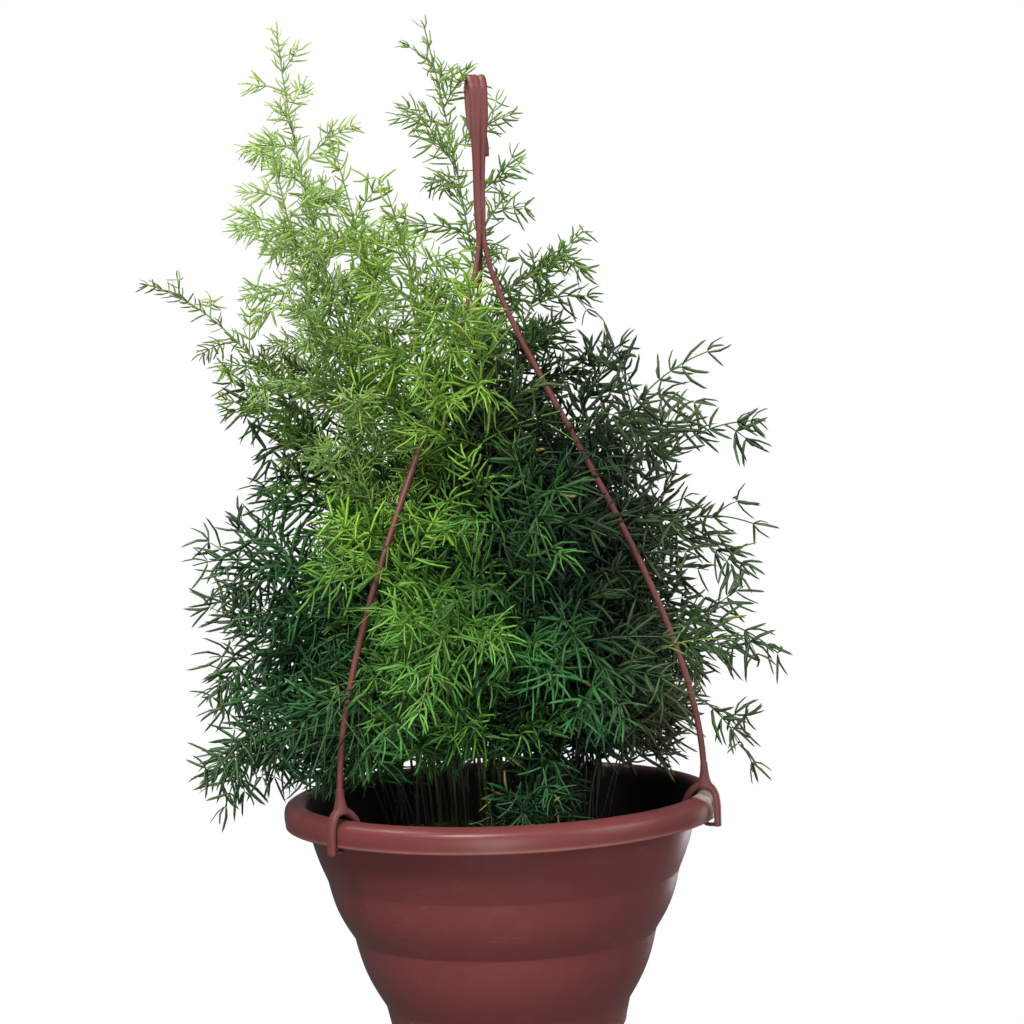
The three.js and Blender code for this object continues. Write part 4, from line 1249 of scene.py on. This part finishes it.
class Surroundings:
    """What the leafy stems grow between: the pot, the soil, the strands and the plant's box."""

    def __init__(self):
        points = [p for azimuth in ARM_AZIMUTHS for p in arm_line(azimuth)]
        self.strands = KDTree(len(points))
        for index, point in enumerate(points):
            self.strands.insert(point, index)
        self.strands.balance()
        self.fronts = [arm_line(azimuth, count=24) for azimuth in ARM_AZIMUTHS[:2]]

    def is_clear(self, point, floor):
        """Whether a point is clear of the pot, the soil and the strands, and inside the plant's box."""
        radius = math.hypot(point.x, point.y)
        inner, outer = (RIM_RADIUS + side for side in RIM_SIDES)
        if radius < inner:
            floor += (SOIL_TOP - floor) * share_between(abs(point.x - BARE_CENTRE), *BARE_BETWEEN)
            beside = radius < SOIL_RADIUS - ROOM or point.z > RIM_TOP_INSIDE + ROOM
            above = point.z > floor + ROOM and beside
        else:
            above = radius > outer + ROOM or point.z > RIM_TOP + ROOM
        low, high = CAD_BOX
        inside = all(
            low[k] / MM + rooms * ROOM < point[k] < high[k] / MM - rooms * ROOM
            for k, rooms in enumerate(BOX_ROOMS)
        )
        return above and inside and self.strands.find(point)[2] > ROOM + STRAND_RADIUS

    def growth(self, point):
        """How thickly needles grow at a point: less far out, high up and in front of a bared strand."""
        share = 1 - EDGE_LOSS * outwards(point) - YOUNG_LOSS * share_between(point.z, YOUNG_FROM, YOUNG_AT)
        for line, bared_to in zip(self.fronts, BARED_TO):
            near = min(line, key=lambda p: math.hypot(p.x - point.x, p.z - point.z))
            if point.y < near.y:
                covered = share_between(math.hypot(near.x - point.x, near.z - point.z), *BARED_WIDTH)
                share *= max(covered, share_between(point.z, bared_to, bared_to + BARED_FADE))
        return share


def outwards(point):
    """How far out in the bush a point lies, from its full middle to its thin edge."""
    return share_between(math.hypot(point.x - BUSH_CENTRE, point.y), FULL_WITHIN, THIN_BEYOND)


def weathered(point):
    """How weathered needles are at a point, from the bush's middle to its edge."""
    apart = math.hypot(point.x - BUSH_CENTRE, WEATHERED_DEPTH * point.y)
    return share_between(apart, *WEATHERED_BETWEEN)


def place_on(line, height):
    """The place from left to right that a line of [height, place] gives at a height."""
    found = line[0][1]
    for (low, before), (high, after) in zip(line, line[1:]):
        found += (after - before) * share_between(height, low, high)
    return found


def buried(point):
    """How deep a point lies in the bush's heart, where its needles get painted shade."""
    lowest, highest = HEART_HEIGHTS
    heart = Vector((*HEART, min(max(point.z, lowest), highest)))
    return 1 - share_between((point - heart).length, *HEART_EDGE)


def painted_light_at(point):
    """How much painted light a place in the bush gets in its needles' colours: least at its heart and in
    its shaded sides.
    """
    right = share_between(point.x - place_on(SHADED_RIGHT, point.z), *RIGHT_SHADE_WIDTH)
    lit_top = 1 - share_between(point.z, *LIT_FRONT_TOP)
    right *= 1 - LIT_FRONT_SHARE * share_between(-point.y, *LIT_FRONT) * lit_top
    left = share_between(place_on(SHADED_LEFT, point.z) - point.x, *LEFT_SHADE_WIDTH)
    left *= 1 - share_between(point.z, *SHADED_LEFT_TOP)
    crown = LIT_CROWN * share_between(point.z, *LIT_CROWN_FROM)
    return (1 - buried(point)) * (1 - LEFT_SHADE * left) * max(1 - RIGHT_SHADE * right, crown)


class Sketch:
    """The rods of a stem as lines of edges, with what each point bears."""

    def __init__(self, needle_length, around, floor):
        self.needle_length = needle_length
        self.around = around
        self.floor = floor
        self.points, self.edges, self.values = [], [], {}

    def add(self, line, thickness, bare, at_tip, shoot):
        """Adds a line that bears needles past its bare share, and shorter ones at its tip."""
        first = len(self.points)
        for k, point in enumerate(line.points):
            share = line.marks[k] / line.length
            length = self.needle_length * MM * (1 + (at_tip - 1) * share**2) if share >= bare else 0
            borne = {
                "thickness": (thickness[0] + (thickness[1] - thickness[0]) * share) * MM,
                "leaf": length,
                "shoot": shoot,
                "youth": share_between(point.z, YOUNG_FROM, YOUNG_AT),
                # Painted light and painted shade for the needles' colours, by the point's place in the
                # bush.
                "sun": painted_light_at(point),
                "buried": buried(point),
                "outer": weathered(point),
                "fullness": self.around.growth(point),
            }
            for name, value in borne.items():
                self.values.setdefault(name, []).append(value)
            self.points.append(place(*point))
            if k:
                self.edges.append((first + k - 1, first + k))

    def add_twig(self, twig, draw, thickness, bare):
        """Adds a twig, cut short where it would meet something. Returns what is left of it."""
        kept = 0
        while kept < len(twig.points) and self.around.is_clear(twig.points[kept], self.floor):
            kept += 1
        if kept < FEWEST_POINTS:
            return None
        twig = Line(twig.points[:kept], twig.normals[0])
        self.add(twig, thickness, bare, TWIG_TIP_NEEDLES, draw.random())
        return twig

    def add_spray(self, stem, first, last, count, longest, azimuth, twiglets, draw):
        """Adds twigs between two distances along a stem, a golden angle apart, with twiglets on them."""
        start, stretch = TWIGLETS_ALONG
        for k in range(count + 1):
            share = k / count
            distance = first + (last - first) * share
            if k % TWIGS_PER_MAIN and draw.random() < TWIGS_LOST * outwards(stem.at(distance)[0]):
                continue
            turn = azimuth + k * GOLDEN_ANGLE + draw.uniform(-TURN_STRAY, TURN_STRAY)
            length = twig_length(share, longest) * draw.uniform(*LENGTH_SHARES)
            lean = TWIG_LEAN + draw.uniform(-LEAN_STRAY, LEAN_STRAY)
            twig = twig_line(stem, distance, turn, length, lean, TWIG_SAG * draw.uniform(*SAG_SHARES))
            twig = self.add_twig(twig, draw, TWIG_THICKNESS, BARE_TWIG / length)
            for j in range(twiglets if twig and twig.length > TWIGLETS_FROM else 0):
                along = twig.length * (start + stretch * (j + draw.random()) / twiglets)
                size = twig.length * draw.uniform(*TWIGLET_SHARES)
                way = draw.uniform(0, 2 * math.pi)
                if draw.random() < TWIGLETS_LOST * outwards(twig.points[-1]):
                    continue
                twiglet = twig_line(twig, along, way, size, TWIGLET_LEAN, TWIGLET_SAG, steps=4)
                self.add_twig(twiglet, draw, TWIGLET_THICKNESS, BARE_TWIGLET / size)


def companion_line(stem, root, share, draw):
    """A thinner shoot that leans out of the soil beside a stem and ends at a share of its length."""
    point, way, normal, side = stem.at(stem.length * share)
    turn = draw.uniform(0, 2 * math.pi)
    end = point + (normal * math.cos(turn) + side * math.sin(turn)) * draw.uniform(*SHOOT_ENDS_APART)
    angle = draw.uniform(0, 2 * math.pi)
    x, y = root[0] + SHOOT_APART * math.cos(angle), root[1] + SHOOT_APART * math.sin(angle)
    mouth = Vector((x, y, SOIL_TOP))
    heading = (end - mouth).normalized()
    rise = (heading + Vector((0, 0, SHOOT_UPWARDS))).normalized() * (end - mouth).length * SHOOT_RISE
    arch = cubic(mouth, mouth + rise, end - way * SHOOT_REACH, end, count=24)
    return Line([mouth - Vector((0, 0, SHOOT_DEPTH)), *arch], normal)


def sketch_stem(index, row, settings, around):
    """Lays out a stem with its twigs and the thinner shoots that grow with it."""
    tone, root, tip, pitch, rise, reach, bare, mains, longest, needle_length = row[1:]
    draw = random.Random(SEED * 1000 + index)
    stem = stem_line(root, tip, pitch, rise, reach)
    sketch = Sketch(needle_length, around, SOIL_TOP if tip[2] < LOWEST_TWIG else LOWEST_TWIG)
    sketch.add(stem, STEM_THICKNESS, bare * NEEDLES_BEGIN, STEM_TIP_NEEDLES, draw.random())
    phase = index * STEM_TURN - 2 * GOLDEN_ANGLE
    first, last = stem.length * bare, stem.length - LAST_TWIG
    count = mains * TWIGS_PER_MAIN
    sketch.add_spray(stem, first, last, count, longest, phase, settings.twiglets, draw)
    shortest_stem, shortest_twig = COMPANY_FROM
    if stem.length >= shortest_stem and longest >= shortest_twig:
        for share in COMPANIONS[:3 if tone == "dark" else 2]:
            shoot = companion_line(stem, root, share * draw.uniform(*COMPANION_SHARES), draw)
            sketch.add(shoot, SHOOT_THICKNESS, SHOOT_BARE, STEM_TIP_NEEDLES, draw.random())
            first, last = shoot.length * SHOOT_TWIGS_FROM, shoot.length - SHOOT_LAST_TWIG
            way = draw.uniform(0, 2 * math.pi)
            length = longest * SHOOT_TWIG_LENGTH
            sketch.add_spray(shoot, first, last, SHOOT_TWIGS, length, way, 1, draw)
    return line_mesh(sketch.points, sketch.edges, sketch.values)


def needle(w):
    """One needle, a unit long and wide, pointed at both ends and bent towards +X."""
    line = w.node("GeometryNodeCurvePrimitiveLine", None, {"Start": (0, 0, 0), "End": (0, 0, 1)})
    line = w.node("GeometryNodeResampleCurve", None, {"Curve": line, "Count": NEEDLE_STEPS})
    share = w.node("GeometryNodeSplineParameter", output="Factor")
    along = share - NEEDLE_ENDS * (share * 2 * math.pi).math("SINE")
    line = w.move(w.store(line, "along", along), Position=w.vector(0, 0, along))
    fullness = (share * math.pi).math("SINE").math("MAXIMUM", 0.0) ** NEEDLE_BLUNTNESS
    closed = w.merge(w.sweep(line, w.ring(NEEDLE_CORNERS, 0.55), fullness), 0.02)
    along = w.attribute("along")
    sideways = (bend * along * along for bend in NEEDLE_BEND)
    return w.smooth(w.move(closed, Offset=w.vector(*sideways, 0)))


def foliage_tree():
    """Sweeps the rods of a sketch and sets whorls of needles along them."""
    tree, w, inputs = new_tree("Needle Leaves", [
        ("Needle Width", "Float", 0.0015),
        ("Whorl Spacing", "Float", 0.0055),
        ("Droop", "Float", 0.002),
        ("Reach", "Float", 0.02),
        ("Seed", "Int", 1),
        ("Guard", "Object", None),
        ("Needle Material", "Material", None),
        ("Twig Material", "Material", None),
    ])

    def chance(low, high, salt):
        """A draw of its own for each salt."""
        return w.chance(low, high, inputs["Seed"] + salt)

    lines = w.curves(inputs["Geometry"])
    rods = w.sweep(lines, w.ring(ROD_CORNERS, 0.5), w.attribute("thickness"), capped=True)
    rods = w.dress(w.smooth(rods), inputs["Twig Material"])

    # A point for each needle: whorls along the rods, fewer where the bush thins out.
    whorls = w.node("GeometryNodeCurveToPoints", {"mode": "LENGTH"}, {
        "Curve": lines, "Length": inputs["Whorl Spacing"],
    })
    points = w.store(whorls["Points"], "turn", whorls["Rotation"], data_type="QUATERNION")
    keep = w.attribute("fullness") * w.math("GREATER_THAN", w.attribute("leaf"), 1 * MM)
    points = w.drop(points, w.math("GREATER_THAN", chance(0.0, 1.0, 7), keep))
    points = w.store(points, "phase", chance(0.0, 2 * math.pi, 8))
    fewest, past = WHORL
    points = w.store(points, "together", (fewest + chance(0, past - fewest, 9)).math("FLOOR"))
    spots = w.node("GeometryNodeDuplicateElements", {"domain": "POINT"}, {
        "Geometry": points, "Amount": w.attribute("together"),
    })
    spots = w.store(spots["Geometry"], "order", spots["Duplicate Index"])

    # The needles, spread round their rod and each with a size and a tilt of its own.
    round_stem = w.attribute("phase") + 2 * math.pi * w.attribute("order") / w.attribute("together")
    lean = chance(*NEEDLE_LEANS, 2) - YOUNG_LEAN * w.attribute("youth")
    turn = w.attribute("turn", data_type="QUATERNION")
    turn = w.turn_by(turn, (0, 0, 1), round_stem + chance(*NEEDLE_STRAYS, 1))
    turn = w.turn_by(turn, (0, 1, 0), lean)
    turn = w.turn_by(turn, (0, 0, 1), math.pi + chance(*NEEDLE_TWISTS, 3))
    length = w.attribute("leaf") * chance(*NEEDLE_LENGTHS, 4)
    least, more = WIDTH_SHARES
    width = inputs["Needle Width"] * chance(*NEEDLE_WIDTHS, 5) * (least + w.attribute("leaf") * more)
    width = width * (1 + SHADE_BREADTH - SHADE_BREADTH * w.attribute("sun"))
    thickness = width * chance(*NEEDLE_THICKNESSES, 10)
    placed = w.set_on(spots, needle(w), turn, w.vector(thickness, width, length))
    placed = w.store(placed, "tint", chance(0.0, 1.0, 6), domain="INSTANCE")

    # Those that would pass through the guard go, and the others hang a little.
    guard = w.node("GeometryNodeObjectInfo", None, {"Object": inputs["Guard"]}, "Geometry")
    heading = w.node("FunctionNodeRotateVector", None, {
        "Vector": (0, 0, 1), "Rotation": w.node("GeometryNodeInputInstanceRotation"),
    })
    blocked = w.node("GeometryNodeRaycast", None, {
        "Target Geometry": guard, "Ray Direction": heading, "Ray Length": inputs["Reach"],
    }, "Is Hit")
    needles = w.real(w.drop(placed, blocked, domain="INSTANCE"))
    fall = -1 * inputs["Droop"] * w.attribute("along") * w.attribute("along")
    needles = w.dress(w.move(needles, Offset=w.vector(0, 0, fall)), inputs["Needle Material"])
    w.finish(w.join(rods, needles))
    return tree


def guard_object():
    """The pot, soil and hanger as one hidden mesh that needles may not pass through."""
    form = bmesh.new()
    for name in ("pot", "soil", *HANGER_NODES):
        form.from_mesh(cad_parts[name].data)
    guard = add_object("guard", plain_mesh(form, "guard"))
    guard.hide_render = True
    return guard


class FoliageSettings(PropertyGroup):
    """Sizes of the needle leaves."""

    needle_width: length_setting("Needle Width", "Width of a needle leaf", 0.002, 0.0002)
    spacing: FloatProperty(
        name="Whorl Spacing", description="Distance between two whorls, as a share of a needle's length",
        default=0.44, min=0.1,
    )
    droop: FloatProperty(
        name="Droop", description="How far a needle's tip hangs, as a share of its length", default=0.12,
    )
    twiglets: IntProperty(name="Twiglets", description="Side shoots on a long twig", default=2, min=0)


class FERN_OT_add_foliage(Operator):
    """Add the leafy stems, one piece for each"""

    bl_idname = "fern.add_foliage"
    bl_label = "Add Leafy Stems"

    def execute(self, context):
        settings = context.scene.fern_foliage
        tree = foliage_tree()
        guard = guard_object()
        around = Surroundings()
        needles = {tone: needle_material(tone) for tone in TONES}
        twigs = {tone: twig_material(tone) for tone in TONES}
        for index, row in enumerate(STEMS):
            name, tone, needle_length = row[0], row[1], row[-1] * MM
            closer = PALE_SPACING if tone == "pale" else 1
            mesh = run_tree(tree, sketch_stem(index, row, settings, around), {
                "Needle Width": settings.needle_width,
                "Whorl Spacing": settings.spacing * needle_length * closer,
                "Droop": settings.droop * needle_length,
                "Reach": NEEDLE_REACH * needle_length,
                "Seed": SEED + SEED_STEP * index,
                "Guard": guard,
                "Needle Material": needles[tone],
                "Twig Material": twigs[tone],
            })
            finish_piece(add_object(f"leafy_{name}", mesh), f"foliage_{tone}", f"stem_{name}")
        bpy.data.objects.remove(guard)
        return {"FINISHED"}


# ---------------- Stage

MIDDLE = (0, 0, BASE_Z * 0.5)
FOOT = (0, 0, level(70))
# The lamps: place, point they are turned to, size, power, colour, and whether they show in reflections.
LAMPS = {
    "key": ((-0.55, -1.45, 1.2), MIDDLE, 0.8, 58, (1, 0.98, 0.94), True),
    "window": ((-0.9, 0.5, 1.3), (-0.05, 0, -0.05), 0.8, 30, (1, 1, 0.96), True),
    "low_front": ((-0.1, -1.7, -0.7), FOOT, 0.8, 11, (1, 0.97, 0.96), True),
    "fill": ((1.5, -0.8, 0.2), MIDDLE, 1.2, 15, (0.92, 0.98, 1), True),
    "rear_right": ((1.2, 1.8, 0.1), MIDDLE, 1.2, 20, (1, 1, 1), False),
    "rear_left": ((-0.4, 2.1, 0.1), MIDDLE, 1.2, 14, (1, 1, 1), False),
    "edge_right": ((1.1, 1.7, -0.6), FOOT, 1, 9, (1, 0.97, 0.98), True),
}
SKY_COLOUR = (0.95, 0.98, 1, 1)
FLOOR_COLOUR = (0.86, 0.86, 0.85, 1)
# In metres: the floor's own colour turns white between these distances from its middle.
FLOOR_FADE = (0.5, 1.7)
FLOOR_RADIUS = 3
BACKDROP_RADIUS = 12


class StageSettings(PropertyGroup):
    """The camera's place and the strength of the lights."""

    camera_place: FloatVectorProperty(
        name="Camera", description="Where the camera stands", default=(0.0126, -1.6, BASE_Z + 0.40136),
        subtype="TRANSLATION", unit="LENGTH", size=3,
    )
    lens: FloatProperty(name="Lens", description="Focal length in millimetres", default=94.43, min=10)
    pitch: FloatProperty(
        name="Pitch", description="How far the camera looks down", default=0.0554, subtype="ANGLE",
    )
    roll: FloatProperty(
        name="Roll", description="How far the camera leans", default=-0.0358, subtype="ANGLE",
    )
    floor_drop: FloatProperty(
        name="Floor", description="How far the floor lies below the pot", default=0.62, unit="LENGTH",
    )
    ambient: FloatProperty(name="Ambient", description="Strength of the light all round", default=0.15)


def add_camera(settings):
    camera = add_object("camera", bpy.data.cameras.new("camera"))
    camera.data.lens = settings.lens
    camera.data.sensor_width = 36
    look = Matrix.Rotation(math.pi / 2 - settings.pitch, 4, "X") @ Matrix.Rotation(settings.roll, 4, "Z")
    camera.matrix_world = Matrix.Translation(settings.camera_place) @ look
    bpy.context.scene.camera = camera


def add_lamp(name, place_at, aim, size, power, colour, mirrored):
    """A large soft lamp, turned towards a point."""
    lamp = bpy.data.lights.new(name, "AREA")
    lamp.shape = "DISK"
    lamp.size = size
    lamp.energy = power
    lamp.color = colour
    lamp_object = add_object(name, lamp)
    lamp_object.location = place_at
    lamp_object.rotation_euler = (Vector(aim) - Vector(place_at)).to_track_quat("-Z", "Y").to_euler()
    lamp_object.visible_glossy = mirrored


def add_sky(strength):
    world = bpy.data.worlds.new("studio")
    world.use_nodes = True
    background = world.node_tree.nodes["Background"]
    background.inputs["Color"].default_value = SKY_COLOUR
    background.inputs["Strength"].default_value = strength
    bpy.context.scene.world = world


def add_scenery(name, form, material):
    """Adds a stage object that only the camera sees."""
    mesh = plain_mesh(form, name)
    mesh.materials.append(material)
    scenery = add_object(name, mesh)
    for ray in ("diffuse", "glossy", "transmission", "shadow"):
        setattr(scenery, f"visible_{ray}", False)
    return scenery


def add_backdrop():
    material, w = new_material("backdrop_white")
    w.finish(w.white_glow())
    form = bmesh.new()
    bmesh.ops.create_icosphere(form, subdivisions=4, radius=BACKDROP_RADIUS)
    add_scenery("backdrop", form, material)


def add_floor(height):
    """Adds a pale floor that runs out into the white of the backdrop."""
    material, w = new_material("floor_pale")
    apart = w.node("ShaderNodeVectorMath", {"operation": "LENGTH"}, {0: w.at}, "Value")
    matt = w.node("ShaderNodeBsdfDiffuse", None, {"Color": FLOOR_COLOUR})
    fade = w.step(apart, *FLOOR_FADE)
    w.finish(w.node("ShaderNodeMixShader", None, {0: fade, 1: matt, 2: w.white_glow()}))
    form = bmesh.new()
    bmesh.ops.create_circle(form, cap_ends=True, radius=FLOOR_RADIUS, segments=64)
    add_scenery("floor", form, material).location.z = height


class FERN_OT_add_stage(Operator):
    """Add the camera, floor, backdrop and soft studio lights"""

    bl_idname = "fern.add_stage"
    bl_label = "Add Stage"

    def execute(self, context):
        settings = context.scene.fern_stage
        add_camera(settings)
        add_sky(settings.ambient)
        context.scene.view_settings.view_transform = "Standard"
        for name, lamp in LAMPS.items():
            add_lamp(name, *lamp)
        add_floor(BASE_Z - settings.floor_drop)
        add_backdrop()
        return {"FINISHED"}


# ---------------- Add-on

SETTINGS = {
    "fern_pot": PotSettings,
    "fern_soil": SoilSettings,
    "fern_hanger": HangerSettings,
    "fern_foliage": FoliageSettings,
    "fern_stage": StageSettings,
}
OPERATORS = (FERN_OT_add_stage, FERN_OT_add_pot, FERN_OT_add_soil, FERN_OT_add_hanger, FERN_OT_add_foliage)


class FERN_PT_panel(Panel):
    """Lists the operators and their settings"""

    bl_label = "Hanging Foxtail Fern"
    bl_idname = "FERN_PT_panel"
    bl_space_type = "VIEW_3D"
    bl_region_type = "UI"
    bl_category = "Fern"

    def draw(self, context):
        for name, group in SETTINGS.items():
            box = self.layout.box()
            for field in group.__annotations__:
                box.prop(getattr(context.scene, name), field)
        for operator in OPERATORS:
            self.layout.operator(operator.bl_idname)


CLASSES = (*SETTINGS.values(), *OPERATORS, FERN_PT_panel)


def register():
    for item in CLASSES:
        bpy.utils.register_class(item)
    for name, group in SETTINGS.items():
        setattr(bpy.types.Scene, name, PointerProperty(type=group))


def unregister():
    for name in SETTINGS:
        delattr(bpy.types.Scene, name)
    for item in reversed(CLASSES):
        bpy.utils.unregister_class(item)


def main():
    register()
    bpy.ops.fern.add_stage()
    bpy.ops.fern.add_pot()
    bpy.ops.fern.add_soil()
    bpy.ops.fern.add_hanger()
    bpy.ops.fern.add_foliage()


if __name__ == "__main__":
    main()
